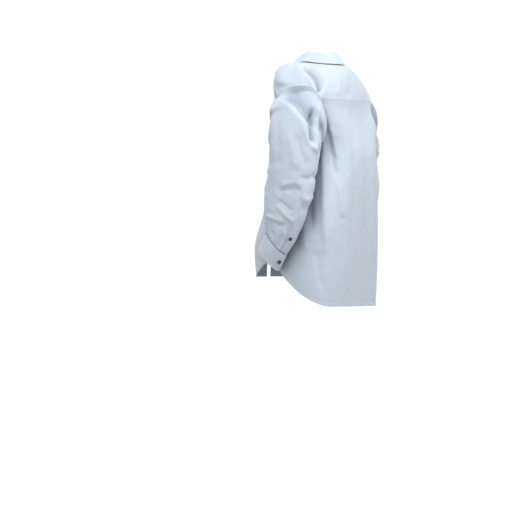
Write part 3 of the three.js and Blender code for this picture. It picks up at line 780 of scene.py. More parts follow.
def cotton(name, color, roughness=0.82, sheen=0.25, pitch=THREAD_PITCH, crush=1.0):
    """Plain-weave cotton: threads both ways, slubs, the faint creasing of pressed cloth, and painted
    shade in its hollows.
    """
    m = Nodes(name, color, roughness, sheen)
    cut = m.node("ShaderNodeUVMap")
    cut.uv_map = "cut"
    place = m.node("ShaderNodeTexCoord").outputs["Object"]
    split = m.node("ShaderNodeSeparateXYZ")
    m.link(cut.outputs["UV"], split.inputs[0])
    turns = 2 * math.pi / pitch
    warp = m.math("SINE", m.math("MULTIPLY", split.outputs[0], turns), 0.0)
    weft = m.math("SINE", m.math("MULTIPLY", split.outputs[1], turns), 0.0)
    weave = m.math("MULTIPLY", warp, weft)
    slub = m.node("ShaderNodeTexNoise", Scale=1.0, Detail=3.0, Roughness=0.6)
    drawn = m.node("ShaderNodeMapping")
    drawn.inputs["Scale"].default_value = (900, 60, 1)
    m.link(cut.outputs["UV"], drawn.inputs["Vector"])
    m.link(drawn.outputs[0], slub.inputs["Vector"])
    cloud = m.node("ShaderNodeTexNoise", Scale=9.0, Detail=4.0, Roughness=0.55)
    m.link(place, cloud.inputs["Vector"])
    rumple = m.node("ShaderNodeTexNoise", Scale=34.0, Detail=5.0, Roughness=0.62, Distortion=0.6)
    m.link(place, rumple.inputs["Vector"])
    deep, pale = tinted(color, 0.945), tinted(color, 1.045)
    ground = m.mixed(cloud.outputs["Fac"], deep, pale)
    threads = m.math("MULTIPLY_ADD", weave, 0.09)
    threads.node.inputs[2].default_value = 0.5
    fine = m.math("MULTIPLY", slub.outputs["Fac"], threads)
    shade = m.node("ShaderNodeMapRange")
    m.link(fine, shade.inputs["Value"])
    shade.inputs["To Min"].default_value = 0.93
    shade.inputs["To Max"].default_value = 1.16
    washed = m.node("ShaderNodeMix", data_type="RGBA", blend_type="MULTIPLY")
    washed.inputs[0].default_value = 1.0
    m.link(ground, washed.inputs[6])
    m.link(shade.outputs[0], washed.inputs[7])
    # Painted shade: an ambient-occlusion node darkens the base colour in creases, hollows and between
    # layers of cloth.
    painted_shade_ao = m.node("ShaderNodeAmbientOcclusion", Distance=PAINTED_SHADE_REACH)
    painted_shade_ao.samples = 8
    unshaded_share = m.node("ShaderNodeMapRange")
    m.link(painted_shade_ao.outputs["AO"], unshaded_share.inputs["Value"])
    unshaded_share.inputs["From Min"].default_value = 0.25
    unshaded_share.inputs["From Max"].default_value = 0.92
    unshaded_share.inputs["To Min"].default_value = PAINTED_SHADE_DARKEST
    m.link(m.mixed(unshaded_share.outputs[0], (0, 0, 0), washed.outputs[2]), m.shader.inputs["Base Color"])
    rough = m.node("ShaderNodeMapRange")
    m.link(cloud.outputs["Fac"], rough.inputs["Value"])
    rough.inputs["To Min"].default_value = roughness - 0.06
    rough.inputs["To Max"].default_value = roughness + 0.08
    m.link(rough.outputs[0], m.shader.inputs["Roughness"])
    soft = m.bump(rumple.outputs["Fac"], 0.30 * crush, 0.004)
    slubs = m.bump(slub.outputs["Fac"], 0.25, 0.0003, soft)
    m.link(m.bump(weave, 0.35, 0.00012, slubs), m.shader.inputs["Normal"])
    return m.material


def plain(name, color, roughness, sheen=0.0, coat=0.0, scale=400.0, depth=0.0002, spread=0.12):
    """Thread, tape or button: a mottled colour with a fine surface of its own."""
    m = Nodes(name, color, roughness, sheen, coat)
    place = m.node("ShaderNodeTexCoord").outputs["Object"]
    grain = m.node("ShaderNodeTexNoise", Scale=scale, Detail=4.0, Roughness=0.6, Distortion=0.8)
    m.link(place, grain.inputs["Vector"])
    ground = m.mixed(grain.outputs["Fac"], tinted(color, 1 - spread), tinted(color, 1 + spread))
    m.link(ground, m.shader.inputs["Base Color"])
    rough = m.node("ShaderNodeMapRange")
    m.link(grain.outputs["Fac"], rough.inputs["Value"])
    rough.inputs["To Min"].default_value = max(0.05, roughness - 0.08)
    rough.inputs["To Max"].default_value = roughness + 0.08
    m.link(rough.outputs[0], m.shader.inputs["Roughness"])
    m.link(m.bump(grain.outputs["Fac"], 0.3, depth), m.shader.inputs["Normal"])
    return m.material


BLUE = (0.548, 0.634, 0.724)
POPLIN = cotton("poplin", BLUE)
DOUBLE = cotton("poplin_double", tinted(BLUE, 0.985), roughness=0.8, crush=0.5)
INSIDE = cotton("poplin_inside", tinted(BLUE, 0.96), crush=0.6)
TAPE = cotton("cotton_tape", tinted(BLUE, 0.9), pitch=0.0009, crush=0.2)
LABEL = cotton("woven_label", (0.80, 0.83, 0.86), pitch=0.0004, sheen=0.1, crush=0.2)
THREAD = plain("sewing_thread", tinted(BLUE, 1.04), 0.7, sheen=0.2, scale=2500.0, depth=0.0001)
HORN = {"coat": 0.35, "scale": 320.0, "depth": 0.00005, "spread": 0.35}
BUTTON = plain("button_horn", (0.055, 0.068, 0.088), 0.34, **HORN)
PEARL = plain("button_thread", (0.30, 0.36, 0.43), 0.7, scale=2500.0, depth=0.0001)

# ---------------------------------------------------------------- placing pieces: torso and loop pieces hang on their body, arm and flap pieces only have their transform baked


def bent(obj):
    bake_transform(obj)


def with_arm(obj, side):
    bent(obj)


def with_flap(obj, side):
    bent(obj)


def with_torso(obj, _side):
    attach(obj, "torso")


def with_loop(obj, _side):
    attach(obj, "loop")


def finish_piece(obj, follow, side, slot, *nodes):
    follow(obj, side)
    if nodes:
        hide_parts(*nodes)
    return obj


def for_side(points, side):
    return points if side == "left" else flipped(points)


# ---------------------------------------------------------------- the back

HEM = 8.0  # depth of a turned-up hem
HEM_THICK = 1.7


def hem_bulk(distance):
    """Thickness near an edge that is turned up and sewn."""
    return np.where(distance < HEM, HEM_THICK, 0.7)


def hem_rows(to_hem, cols):
    """Where the hem's stitching lies at each column."""
    return np.array([row_of(-to_hem[:, int(c)], -(HEM - 1.2)) for c in cols])


def build_back():
    rows = spaced(0, 1, 1 / 180, (0.9865,), 0.0016)
    turns, rows = field(np.linspace(SIDE_TURN, -SIDE_TURN, 181), rows)
    top = -back_top(turns)[..., 2] + 0.5
    drop = mix(top, back_hem_drop(turns), rows)
    points = back_at(turns, drop)
    x, y = turns * BACK_MM_PER_TURN, drop
    high = creases(x, y, (BACK_MM_PER_TURN, 1), BACK_FOLDS)
    high += 0.9 * crumple(x, y, 11, 95) + 0.5 * crumple(x, y, 12, 38)
    hem_wave = smooth((rows - 0.6) / 0.4) * 2.2 * np.sin(x / 21) * np.cos(x / 67 + 0.6)
    from_side = (SIDE_TURN - np.abs(turns)) * BACK_MM_PER_TURN
    held = smooth((drop - top) / 26) * smooth(from_side / 20 + 0.1)
    points = lift(points, (high + hem_wave) * held)
    to_hem = np.linalg.norm(points - points[-1:], axis=-1)
    obj = sheet_mesh("back_panel", points, POPLIN, hem_bulk(to_hem))
    seams = Seams()
    down, across = to_hem.shape
    cols = np.linspace(0, across - 1, 700)
    seams.add(points, hem_rows(to_hem, cols), cols, HEM_THICK)
    for col in (1.2, across - 2.2):
        seams.down(points, col, 1, down - 1.5, 500, 0.9)
    finish_piece(obj, with_torso, "", "cotton", "back_body")
    seams.finish("back_stitching", with_torso)


LINING_DEPTH = 2.2


def build_yoke():
    around, reach = field(spaced(0, 1, 1 / 210), spaced(0, 1, 1 / 44))
    points = yoke(around, reach)
    x, y = around * YOKE_MM_ROUND, reach * YOKE_MM_REACH
    high = creases(x, y, (YOKE_MM_ROUND, YOKE_MM_REACH), YOKE_FOLDS)
    high += 0.7 * crumple(x, y, 21, 90)
    held = smooth(reach / 0.12) * smooth((1 - reach) / 0.10 + 0.12)
    high *= held * smooth((0.5 - np.abs(around - 0.5)) / 0.04)
    outer = lift(points, high)
    obj = sheet_mesh("yoke_outer", outer, POPLIN)
    inner_points = lift(yoke(around, mix(0.012, 0.988, reach)), high * 0.8 - LINING_DEPTH)
    inner = sheet_mesh("yoke_inner", inner_points, INSIDE)
    seams = Seams()
    rows, cols = outer.shape[:2]
    seams.along(outer, rows - 1.8, 0.6, cols - 1.6, 1200)
    seams.along(outer, 1.0, 1, cols - 2, 900)
    for col in (1.0, cols - 2.0):
        seams.down(outer, col, 1, rows - 2, 200)
    finish_piece(obj, with_torso, "", "cotton", "back_yoke")
    finish_piece(inner, with_torso, "", "cotton_inside", "yoke_lining")
    seams.finish("yoke_stitching", with_torso)


# ---------------------------------------------------------------- fronts, plackets and pocket

FRONT_TURNS = np.linspace(FRONT_EDGE_TURN, SIDE_TURN + 0.25, 84)


def front_points(side):
    turns, rows = field(FRONT_TURNS, spaced(0, 1, 1 / 170, (0.985,), 0.0018))
    top = -front_top(turns)[..., 2] + 0.5
    drop = mix(top, front_hem_drop(turns), rows)
    points = front_at(turns, drop)
    x, y = turns * FRONT_MM_PER_TURN, drop
    high = creases(x, y, (FRONT_MM_PER_TURN, 1), FRONT_FOLDS)
    seed = 31 if side == "left" else 41
    high += 0.9 * crumple(x, y, seed, 90) + 0.4 * crumple(x, y, seed + 1, 36)
    from_side = (turns - SIDE_TURN) * FRONT_MM_PER_TURN
    to_edge = (FRONT_EDGE_TURN - turns) * FRONT_MM_PER_TURN
    held = smooth((drop - top) / 30) * smooth(from_side / 20 + 0.1)
    held = held * mix(0.25, 1, smooth((to_edge - 26) / 24))
    if side == "left":  # flatter under the pocket
        pocket = smooth((drop - 200) / 20) * smooth((370 - drop) / 20)
        pocket = pocket * smooth((turns - 112) / 5) * smooth((160 - turns) / 6)
        held = held * (1 - 0.75 * pocket)
    return lift(points, high * held), drop


def front_grid_place(drops, x, drop):
    """Broken row and column numbers of the front at a distance from the middle and a level."""
    turn = turn_at_x(x, drop)
    col = row_of(FRONT_TURNS, turn)
    rows = np.empty_like(col)
    for i in np.ndindex(col.shape):
        low = drops[:, int(col[i])]
        high = drops[:, min(int(col[i]) + 1, drops.shape[1] - 1)]
        rows[i] = np.interp(drop[i], mix(low, high, col[i] % 1), np.arange(len(low)))
    return rows, col


def build_front(side):
    points, drops = front_points(side)
    grid = for_side(points, side)
    to_hem = np.linalg.norm(points - points[-1:], axis=-1)
    thick = hem_bulk(to_hem)
    obj = sheet_mesh(f"{side}_front", grid, POPLIN, thick if side == "left" else thick[:, ::-1])
    nodes = [f"{side}_front_{part}" for part in ("chest", "side", "panel")]
    seams = Seams()
    across = points.shape[1]
    cols = np.linspace(13, across - 1.5, 320)
    hem_cols = cols if side == "left" else across - 1 - cols
    seams.add(grid, hem_rows(to_hem, cols), hem_cols, HEM_THICK)
    finish_piece(obj, with_flap, side, "cotton", *nodes)
    seams.finish(f"{side}_front_stitching", with_flap, side)
    return points, drops


def build_placket(side, points, drops):
    """A double strip down the front edge, with a line of stitching by each side."""
    across, levels = spaced(0, 1, 1 / 9)[None, :], np.linspace(0, 1, 150)[:, None]
    edge_x = front_at(np.array([FRONT_EDGE_TURN - 0.05]), np.array([300.0]))[0, 0]
    x = edge_x + 0.3 + PLACKET_WIDTH * across
    top_turn = turn_at_x(x, np.zeros_like(x))
    low_turn = turn_at_x(x, np.full_like(x, FRONT_LENGTH))
    top = -front_top(top_turn)[..., 2] + 2.0
    drop = mix(top, front_hem_drop(low_turn), levels)
    x = np.broadcast_to(x, drop.shape)
    rows, cols = front_grid_place(drops, x, drop)
    base = read_grid(points, rows, cols)
    high = read_grid(normals(points), rows, cols)
    flat = base + unit(high) * 1.55
    grid = for_side(flat, side)
    obj = sheet_mesh(f"{side}_placket_strip", grid, DOUBLE, 1.4)
    seams = Seams()
    last = grid.shape[1] - 1
    for from_edge in (5, PLACKET_WIDTH - 5):
        seams.down(grid, last * from_edge / PLACKET_WIDTH, 0.5, 148.5, 700, 1.4)
    nodes = [f"{side}_placket_top", f"{side}_placket"]
    finish_piece(obj, with_flap, side, "cotton_double", *nodes)
    seams.finish(f"{side}_placket_stitching", with_flap, side)
    return flat, drop


POCKET_WIDTH = 93
POCKET_TOP = 222
POCKET_HEIGHT = 118
POCKET_POINT = 14
POCKET_HEM = 24
POCKET_INNER_TURN = 155
POCKET_OUTER_TURN = 122


def build_pocket(points, drops):
    u = np.linspace(0, 1, 31)[None, :]
    bottom = POCKET_TOP + POCKET_HEIGHT - POCKET_POINT * np.abs(2 * u - 1)
    hem = POCKET_TOP + POCKET_HEM
    spans = {  # top, bottom, rows, height off the front, puff, thickness, last stitched row
        "pocket_bag": (hem + 0.6, bottom, 34, 1.4, 0.9, 0.8, 0.8),
        "pocket_band": (POCKET_TOP, hem, 12, 1.6, 1.1, 1.3, 0.6),
    }
    looks = {
        "pocket_bag": (POPLIN, "cotton", "chest_pocket"),
        "pocket_band": (DOUBLE, "cotton_double", "pocket_hem"),
    }
    outward = normals(points)
    for name, (top, low, count, height, puff, thick, end) in spans.items():
        drop = mix(top, low, np.linspace(0, 1, count)[:, None])
        turn = mix(POCKET_INNER_TURN, POCKET_OUTER_TURN, u)
        drop, turns = np.broadcast_arrays(drop, turn)
        col = row_of(FRONT_TURNS, turns)
        rows = np.empty_like(col)
        for i in np.ndindex(col.shape):
            rows[i] = np.interp(drop[i], drops[:, int(col[i])], np.arange(drops.shape[0]))
        edge = smooth(np.minimum(u, 1 - u) * POCKET_WIDTH / 16)
        off = (height + edge * puff)[..., None]
        grid = read_grid(points, rows, col) + unit(read_grid(outward, rows, col)) * off
        material, slot, node = looks[name]
        obj = sheet_mesh(name, grid, material, thick)
        seams = Seams()
        last_row, last_col = grid.shape[0] - 1, grid.shape[1] - 1
        for col_at in (0.7, last_col - 0.7):
            seams.down(grid, col_at, 0.3, last_row - 0.3, 200, thick)
        seams.along(grid, last_row - end, 0.5, last_col - 0.5, 200, thick)
        finish_piece(obj, with_flap, "left", slot, node)
        seams.finish(f"{name}_stitching", with_flap, "left")


# ---------------------------------------------------------------- collar


def build_collar():
    ends = (STAND_END_TURN, -STAND_END_TURN)
    turns, rise = field(np.linspace(*ends, 150), np.linspace(1, 0, 12))
    stand = stand_point(turns, rise)
    stand = lift(stand, 0.8 * np.sin(np.pi * rise) * (1 + 0.3 * np.sin(turns / 9)))
    stand_obj = sheet_mesh("collar_band", stand, DOUBLE, 1.3)

    turns, v = field(np.linspace(LEAF_END_TURN, -LEAF_END_TURN, 170), np.linspace(0, 1, 26))
    front = collar_front(turns, LEAF_END_TURN)
    fall = mix(np.interp(np.abs(turns), *LEAF_FALLS), LEAF_POINT, front**3)
    top = stand_point(turns, 1)
    away = collar_away(top)
    spread = mix(LEAF_SPREAD, LEAF_POINT_SPREAD, front)
    roll = smooth(v / 0.16)
    wave = 0.9 * np.sin(turns / 14) * v + 0.7 * np.sin(turns / 6.3 + 1) * v * (1 - v)
    out = 1.9 + spread * v * mix(0.86, 1, v) + wave
    leaf = top + away * (out - 1.2 * (1 - roll))[..., None]
    leaf[..., 2] -= fall * v + 0.4
    leaf[..., 2] += 0.99 * np.sin(np.pi * np.clip(v / 0.3, 0, 1))
    leaf_obj = sheet_mesh("collar_fall", leaf, DOUBLE, 1.5)
    seams = Seams()
    rows, cols = leaf.shape[:2]
    near = np.array([100 / fall[0, int(c)] for c in np.linspace(0, cols - 1, 900)])
    seams.add(leaf, rows - 1 - near, np.linspace(2.2, cols - 3.2, 900), 1.5)
    for col in (2.2, cols - 3.2):
        seams.down(leaf, col, 4, rows - 3.0, 120, 1.5)
    rows, cols = stand.shape[:2]
    for row, first, last in ((rows - 1.8, 1, cols - 2), (0.9, 1, 15), (0.9, cols - 16, cols - 2)):
        seams.along(stand, row, first, last, 700, 1.3)
    finish_piece(stand_obj, with_torso, "", "cotton_double", "collar_stand")
    finish_piece(leaf_obj, with_torso, "", "cotton_double", "collar_leaf")
    seams.finish("collar_stitching", with_torso)


# ---------------------------------------------------------------- sleeves and cuffs

SLEEVE_COLUMNS = 150
SLEEVE_ANGLES = -90 - 360 * np.arange(SLEEVE_COLUMNS) / SLEEVE_COLUMNS
SLEEVE_ROWS = np.concatenate([np.linspace(0, 0.35, 62)[:-1], np.linspace(0.35, 0.997, 92)])


def sleeve_height(angle, along, seed):
    """How far the folds stand out of the sleeve; the folds are read at all turns round the arm."""
    x, y = angle * ARM_MM_PER_TURN, along * ARM_MM_ALONG
    high = np.zeros(x.shape)
    for turn in (-360, 0, 360):
        high += creases(x + turn * ARM_MM_PER_TURN, y, (ARM_MM_PER_TURN, ARM_MM_ALONG), SLEEVE_FOLDS)
    round_arm = np.radians(angle)
    rumpled = crumple(60 * np.cos(round_arm), y + 25 * np.sin(round_arm), seed, 70)
    rumpled += crumple(60 * np.sin(round_arm), y - 20 * np.cos(round_arm), seed + 1, 55)
    small = crumple(75 * np.cos(round_arm) + 12 * np.sin(y / 40), y * 0.8, seed + 2, 30)
    high += rumpled * mix(0.5, 1.3, smooth((along - 0.3) / 0.4))
    high += small * mix(0.3, 0.9, smooth((along - 0.4) / 0.3))
    gathers = np.cos(round_arm * 13 + 0.7) * smooth((along - 0.8) / 0.16)
    return (high + gathers) * smooth(along / 0.016) * mix(1, 0.45, smooth((along - 0.93) / 0.06))


def sleeve_points(seed):
    angle, along = field(SLEEVE_ANGLES, SLEEVE_ROWS)
    points = sleeve_at(angle, along)
    return lift(points, sleeve_height(angle, along, seed), True)


def build_sleeve(side):
    points = sleeve_points(51 if side == "left" else 61)
    grid = for_side(points, side)
    obj = sheet_mesh(f"{side}_sleeve_cloth", grid, POPLIN, 0.7, True)
    seams = Seams()
    seams.along(grid, len(SLEEVE_ROWS) - 3.2, 0, SLEEVE_COLUMNS - 1.001, 700, 0.7, True)
    finish_piece(obj, with_arm, side, "cotton", f"{side}_sleeve")
    seams.finish(f"{side}_sleeve_stitching", with_arm, side)
    return points


def build_cuff(side):
    u, v = field(np.linspace(0, 1, 130), np.linspace(0, 1, 22))
    angle = CUFF_LAP_AT + (360 + CUFF_OVERLAP) * (1 - u)
    puff = 0.8 * np.sin(np.pi * v) + 0.5 * np.sin(np.radians(angle) * 5) * v * (1 - v) * 3
    points = station_point(CUFF_STATION, angle, 2.4 * u + puff * 0.7)
    points = points + WRIST_WAY * (0.6 + CUFF_DEPTH * v)[..., None]
    grid = for_side(points, side)
    obj = sheet_mesh(f"{side}_cuff_band", grid, DOUBLE, 1.9)
    seams = Seams()
    rows, cols = grid.shape[:2]
    for row in (1.3, rows - 2.6):
        seams.along(grid, row, 1.5, cols - 2.5, 500, 1.9)
    for col in (1.8, cols - 2.8):
        seams.down(grid, col, 1.3, rows - 2.6, 90, 1.9)
    finish_piece(obj, with_arm, side, "cotton_double", f"{side}_cuff")
    seams.finish(f"{side}_cuff_stitching", with_arm, side)
    return points


def build_sleeve_placket(side, sleeve_grid):
    """A pointed strip laid on the back of the forearm, over its slit."""
    wide = SLEEVE_PLACKET_WIDTH / (2 * math.pi * 45) * 360
    middle = -(360 - CUFF_LAP_AT - CUFF_OVERLAP / 2)
    u, v = field(np.linspace(-0.5, 0.5, 9), np.linspace(0, 1, 40))
    start = 1 - SLEEVE_PLACKET_LENGTH / ARM_MM_ALONG
    angle = middle - wide * u
    along = mix(start + 0.016 * np.abs(2 * u), 0.992, v)
    col = (-90 - angle) / 360 * SLEEVE_COLUMNS
    row = row_of(SLEEVE_ROWS, along)
    base = read_grid(sleeve_grid, row, col)
    out = unit(read_grid(normals(sleeve_grid, True), row, col))
    points = base + out * 1.5
    grid = for_side(points, side)
    obj = sheet_mesh(f"{side}_sleeve_strip", grid, DOUBLE, 1.1)
    seams = Seams()
    for col in (0.9, 7.1):
        seams.down(grid, col, 1, 38.5, 200, 1.1)
    for row in (1.3, 10.0):
        seams.along(grid, row, 0.9, 7.1, 40, 1.1)
    finish_piece(obj, with_arm, side, "cotton_double", f"{side}_sleeve_placket")
    seams.finish(f"{side}_sleeve_strip_stitching", with_arm, side)
    return points


# ---------------------------------------------------------------- buttons

BUTTON_OUTLINE = [
    (0, 0),
    (4.6, 0),
    (5.5, 0.25),
    (5.95, 0.75),
    (6.0, 1.3),
    (5.85, 1.95),
    (5.4, 2.35),
    (4.9, 2.4),
    (4.3, 2.05),
    (3.8, 1.65),
    (2.5, 1.5),
    (0, 1.5),
]


def button_form():
    """A dished four-hole button of 12 mm, with its holes cut through."""
    sides = 40
    angle = np.arange(sides) * 2 * np.pi / sides
    verts, faces = [(0, 0, 0)], []
    for radius, height in BUTTON_OUTLINE[1:-1]:
        verts += [(radius * math.cos(a), radius * math.sin(a), height) for a in angle]
    verts.append((0, 0, BUTTON_OUTLINE[-1][1]))
    rings = len(BUTTON_OUTLINE) - 2
    for k in range(sides):
        m = (k + 1) % sides
        faces.append((0, 1 + m, 1 + k))
        for r in range(rings - 1):
            a, b = 1 + r * sides, 1 + (r + 1) * sides
            faces.append((a + k, a + m, b + m, b + k))
        last = 1 + (rings - 1) * sides
        faces.append((last + k, last + m, len(verts) - 1))
    disc = make_mesh("button_disc", verts, faces, BUTTON, False)
    drills = []
    for x, y in ((1.5, 1.5), (-1.5, 1.5), (-1.5, -1.5), (1.5, -1.5)):
        size = {"vertices": 14, "radius": 0.8 * MM, "depth": 8 * MM}
        bpy.ops.mesh.primitive_cylinder_add(location=(x * MM, y * MM, 0), **size)
        drills.append(bpy.context.object)
    for drill in drills:
        cut = disc.modifiers.new("hole", "BOOLEAN")
        cut.operation, cut.solver, cut.object = "DIFFERENCE", "EXACT", drill
    graph = bpy.context.evaluated_depsgraph_get()
    made = bpy.data.meshes.new_from_object(disc.evaluated_get(graph))
    for extra in (disc, *drills):
        bpy.data.objects.remove(extra)
    points = np.array([v.co for v in made.vertices]) / MM
    return points, [tuple(p.vertices) for p in made.polygons]


def thread_form():
    """Two crossed turns of thread through the holes, and the shank under them."""
    verts, faces = [], []
    for a, b in (((1.5, 1.5), (-1.5, -1.5)), ((-1.5, 1.5), (1.5, -1.5))):
        t = np.linspace(0, 1, 9)
        for offset in (-0.22, 0.22):
            side = unit(np.array((-(b[1] - a[1]), b[0] - a[0], 0.0))) * offset
            high = 0.2 + 1.75 * np.sin(np.pi * np.clip(t, 0.0, 1)) ** 0.35
            path = vec(mix(a[0], b[0], t), mix(a[1], b[1], t), high)
            points, quads = ring_tube(path + side, 0.2)
            faces += [tuple(len(verts) + i for i in f) for f in quads]
            verts += list(points)
    shank = vec(np.zeros(4), np.zeros(4), np.linspace(-1.3, 0.2, 4))
    points, quads = ring_tube(shank, 1.3, 10)
    faces += [tuple(len(verts) + i for i in f) for f in quads]
    verts += list(points)
    return np.array(verts), faces


def ring_tube(path, radius, sides=6):
    way = unit(np.gradient(path, axis=0))
    guide = np.where(np.abs(way[:, 2:3]) > 0.9, (1.0, 0, 0), (0, 0, 1.0))
    side = unit(np.cross(way, guide))
    points = tube_points(path, side, np.cross(side, way), radius, sides)
    return points, tube_faces(len(path), sides, False)


BUTTON_POINTS, BUTTON_FACES = button_form()
THREAD_POINTS, THREAD_FACES = thread_form()


def build_button(name, node, at, out, along, follow, side, scale=1.0):
    """One sewn-on button and its thread, set on cloth at a point, facing out."""
    out = unit(np.array(out, float))
    x_way = unit(np.cross(along, out))
    y_way = np.cross(out, x_way)
    turn = np.stack([x_way, y_way, out])
    verts = np.concatenate([BUTTON_POINTS, THREAD_POINTS]) * scale
    verts = at + (verts + (0, 0, 0.7 * scale)) @ turn
    faces = BUTTON_FACES + [tuple(i + len(BUTTON_POINTS) for i in f) for f in THREAD_FACES]
    obj = make_mesh(name, verts, faces, BUTTON)
    obj.data.materials.append(PEARL)
    for poly in obj.data.polygons[len(BUTTON_FACES):]:
        poly.material_index = 1
    finish_piece(obj, follow, side, "button", node)


def surface_frame(grid, row, col, wraps=False):
    row, col = np.array([float(row)]), np.array([float(col)])
    at = read_grid(grid, row, col)[0]
    out = unit(read_grid(normals(grid, wraps), row, col))[0]
    below = read_grid(grid, row + 1.0, col)[0]
    return at, out, unit(below - at)


FIRST_BUTTON_DROP = 125
BUTTON_PITCH = 86
FRONT_BUTTONS = 6
BUTTON_SEAT = 0.7  # half the strip's thickness


def buttonhole(at, out, along, long=15.0, wide=1.7):
    """A worked slit: a long ring of thread lying on the cloth."""
    along = unit(along - out * (along @ out))
    side = np.cross(out, along)
    t = np.linspace(0, 2 * np.pi, 33)[:-1]
    rows = np.clip(np.cos(t) * 1.25, -1, 1)[:, None] * along * long / 2
    return at + rows + np.sin(t)[:, None] * side * wide / 2 + out * 0.25


def build_front_buttons(strips):
    """Six buttons down the right strip and six worked holes down the left one."""
    seams = Seams()
    for side in ("right", "left"):
        flat, drop = strips[side]
        middle = (flat.shape[1] - 1) / 2
        column = mix(drop[:, int(middle)], drop[:, int(middle) + 1], middle % 1)
        for i in range(FRONT_BUTTONS):
            level = FIRST_BUTTON_DROP + BUTTON_PITCH * i
            row = np.interp(level, column, np.arange(len(column)))
            at, out, down = (v * mirror_of(side) for v in surface_frame(flat, row, middle))
            at = at + out * BUTTON_SEAT
            if side == "left":
                seams.add_part(*ring_loop(buttonhole(at, out, down), 0.38))
            else:
                name, node = f"front_button_sewn_{i + 1}", f"front_button_{i + 1}"
                build_button(name, node, at, out, down, with_flap, side)
    seams.finish("left_buttonholes", with_flap, "left")


def ring_loop(path, radius, sides=6):
    way = unit(np.roll(path, -1, 0) - np.roll(path, 1, 0))
    middle = path.mean(0)
    up = unit(np.cross(path - middle, way)).mean(0)
    side = unit(np.cross(way, up))
    points = tube_points(path, side, np.cross(side, way), radius, sides)
    quads = tube_faces(len(path), sides, True)
    return points, np.array([f for a, b, c, d in quads for f in ((a, b, c), (a, c, d))])


def build_arm_buttons(side, cuff, strip):
    lap = 1 - (CUFF_OVERLAP / 2) / (360 + CUFF_OVERLAP)
    spots = {
        "cuff_button": (cuff, 0.5 * (cuff.shape[0] - 1), lap * (cuff.shape[1] - 1), 0.95, 1.0),
        "placket_button": (strip, 0.5 * (strip.shape[0] - 1), 4.0, 0.55, 0.85),
    }
    for name, (grid, row, col, half, scale) in spots.items():
        at, out, down = (v * mirror_of(side) for v in surface_frame(grid, row, col))
        at = at + out * half
        build_button(f"{side}_{name}_sewn", f"{side}_{name}", at, out, down, with_arm, side, scale)


# ---------------------------------------------------------------- seams, loop and label


def roll(name, path, radius, axes, *shape, material=POPLIN, slot="cotton"):
    """One rolled seam allowance, its cloth laid by two of its axes."""
    obj = tube_mesh(name, path, radius, material, *shape)
    add_uv(obj, np.array([v.co for v in obj.data.vertices])[:, axes] / MM)
    finish_piece(obj, with_torso, "", slot)


def build_seams():
    """Rolled seam allowances that close the narrow gaps between the sewn pieces."""
    for side in ("left", "right"):
        mirror = mirror_of(side)
        ring = armhole(np.linspace(0, 360, 161)[:-1], -0.3)
        ring = ring + unit(ARMHOLE_CENTRE - ring) * 1.3
        roll(f"{side}_armhole_seam", ring * mirror, 1.75, [1, 2], True, 10, 0.8)
        drops = np.linspace(262, NOTCH_DROP - 1, 110)
        line = back_at(np.full(110, float(SIDE_TURN)), drops)
        line = line + unit(vec(-line[:, 0], BODY_MIDDLE_Y - line[:, 1], 0)) * 0.9
        roll(f"{side}_side_seam", line * mirror, 1.3, [1, 2], False, 8, 1.0, (0, 1.0, 0))
        front = half_yoke(np.ones(60), np.linspace(0.02, 0.985, 60)) + (0, 0.8, -1.0)
        roll(f"{side}_shoulder_seam", front * mirror, 1.25, [0, 2])
    share = np.linspace(-1, 1, 220)
    line = yoke_seam(np.abs(share)) * vec(np.sign(share), 1, 1)
    roll("back_seam", line + (0, -0.9, -0.5), 1.25, [0, 2])
    neck = neck_seam(np.linspace(STAND_END_TURN, -STAND_END_TURN, 200)) + (0, 0, -0.2)
    roll("neck_seam_roll", neck, 1.25, [0, 2], material=DOUBLE, slot="cotton_double")


LOOP_WIDTH = 5
LOOP_REACH = 26
LOOP_HANGS = 20
LABEL_WIDTH = 46
LABEL_HEIGHT = 20
LABEL_STARTS = 0.34  # share of the way down the yoke
LABEL_DEPTH = 4.6


def build_loop():
    t = np.linspace(-1, 1, 60)
    y = NECK_DEPTH_BACK - 4 - 3
    x = LOOP_REACH * np.sin(t * np.pi / 2) * (1 - 0.03 * np.cos(t * 6))
    z = -LOOP_HANGS * (1 - np.abs(t) ** 2.6) ** 0.9
    path = vec(x, y, z)
    way = unit(np.gradient(path, axis=0))
    out = np.broadcast_to((0, -1.0, 0), path.shape)
    side = unit(np.cross(way, out))
    share = np.linspace(-1, 1, 7)
    across, dome = share * LOOP_WIDTH / 2, 0.25 * (1 - share**2)
    points = path[None] + side[None] * across[:, None, None] + out[None] * dome[:, None, None]
    obj = sheet_mesh("hanger_strap", points, TAPE, 1.1)
    finish_piece(obj, with_loop, "", "tape", "hanger_loop")


def build_label():
    """A blank woven label, stitched at its ends to the inside of the yoke."""
    u, v = field(np.linspace(-0.5, 0.5, 24), np.linspace(0, 1, 12))
    around = 0.5 + LABEL_WIDTH * u / (4 * YOKE_CENTRE_Y)
    down = LABEL_STARTS + LABEL_HEIGHT / YOKE_DROP_CENTRE * v
    base = lift(yoke(around, down), -LABEL_DEPTH)
    obj = sheet_mesh("blank_label", base, LABEL, 0.55)
    seams = Seams()
    for col in (0.8, 22.2):
        seams.down(base, col, 0.5, 10.5, 60, -0.55)
    finish_piece(obj, with_torso, "", "label", "neck_label")
    seams.finish("label_stitching", with_torso)


# ---------------------------------------------------------------- the coat

SIDES = ("left", "right")
build_back()
build_yoke()
fronts = {side: build_front(side) for side in SIDES}
strips = {side: build_placket(side, *fronts[side]) for side in SIDES}
build_pocket(*fronts["left"])
build_collar()
sleeves = {side: build_sleeve(side) for side in SIDES}
cuffs = {side: build_cuff(side) for side in SIDES}
arm_strips = {side: build_sleeve_placket(side, sleeves[side]) for side in SIDES}
build_front_buttons(strips)
for side in SIDES:
    build_arm_buttons(side, cuffs[side], arm_strips[side])
build_seams()
build_loop()
build_label()

# ---------------------------------------------------------------- floor, light and camera

FLOOR_Z = -1.45
FLOOR_RADIUS = 30.0


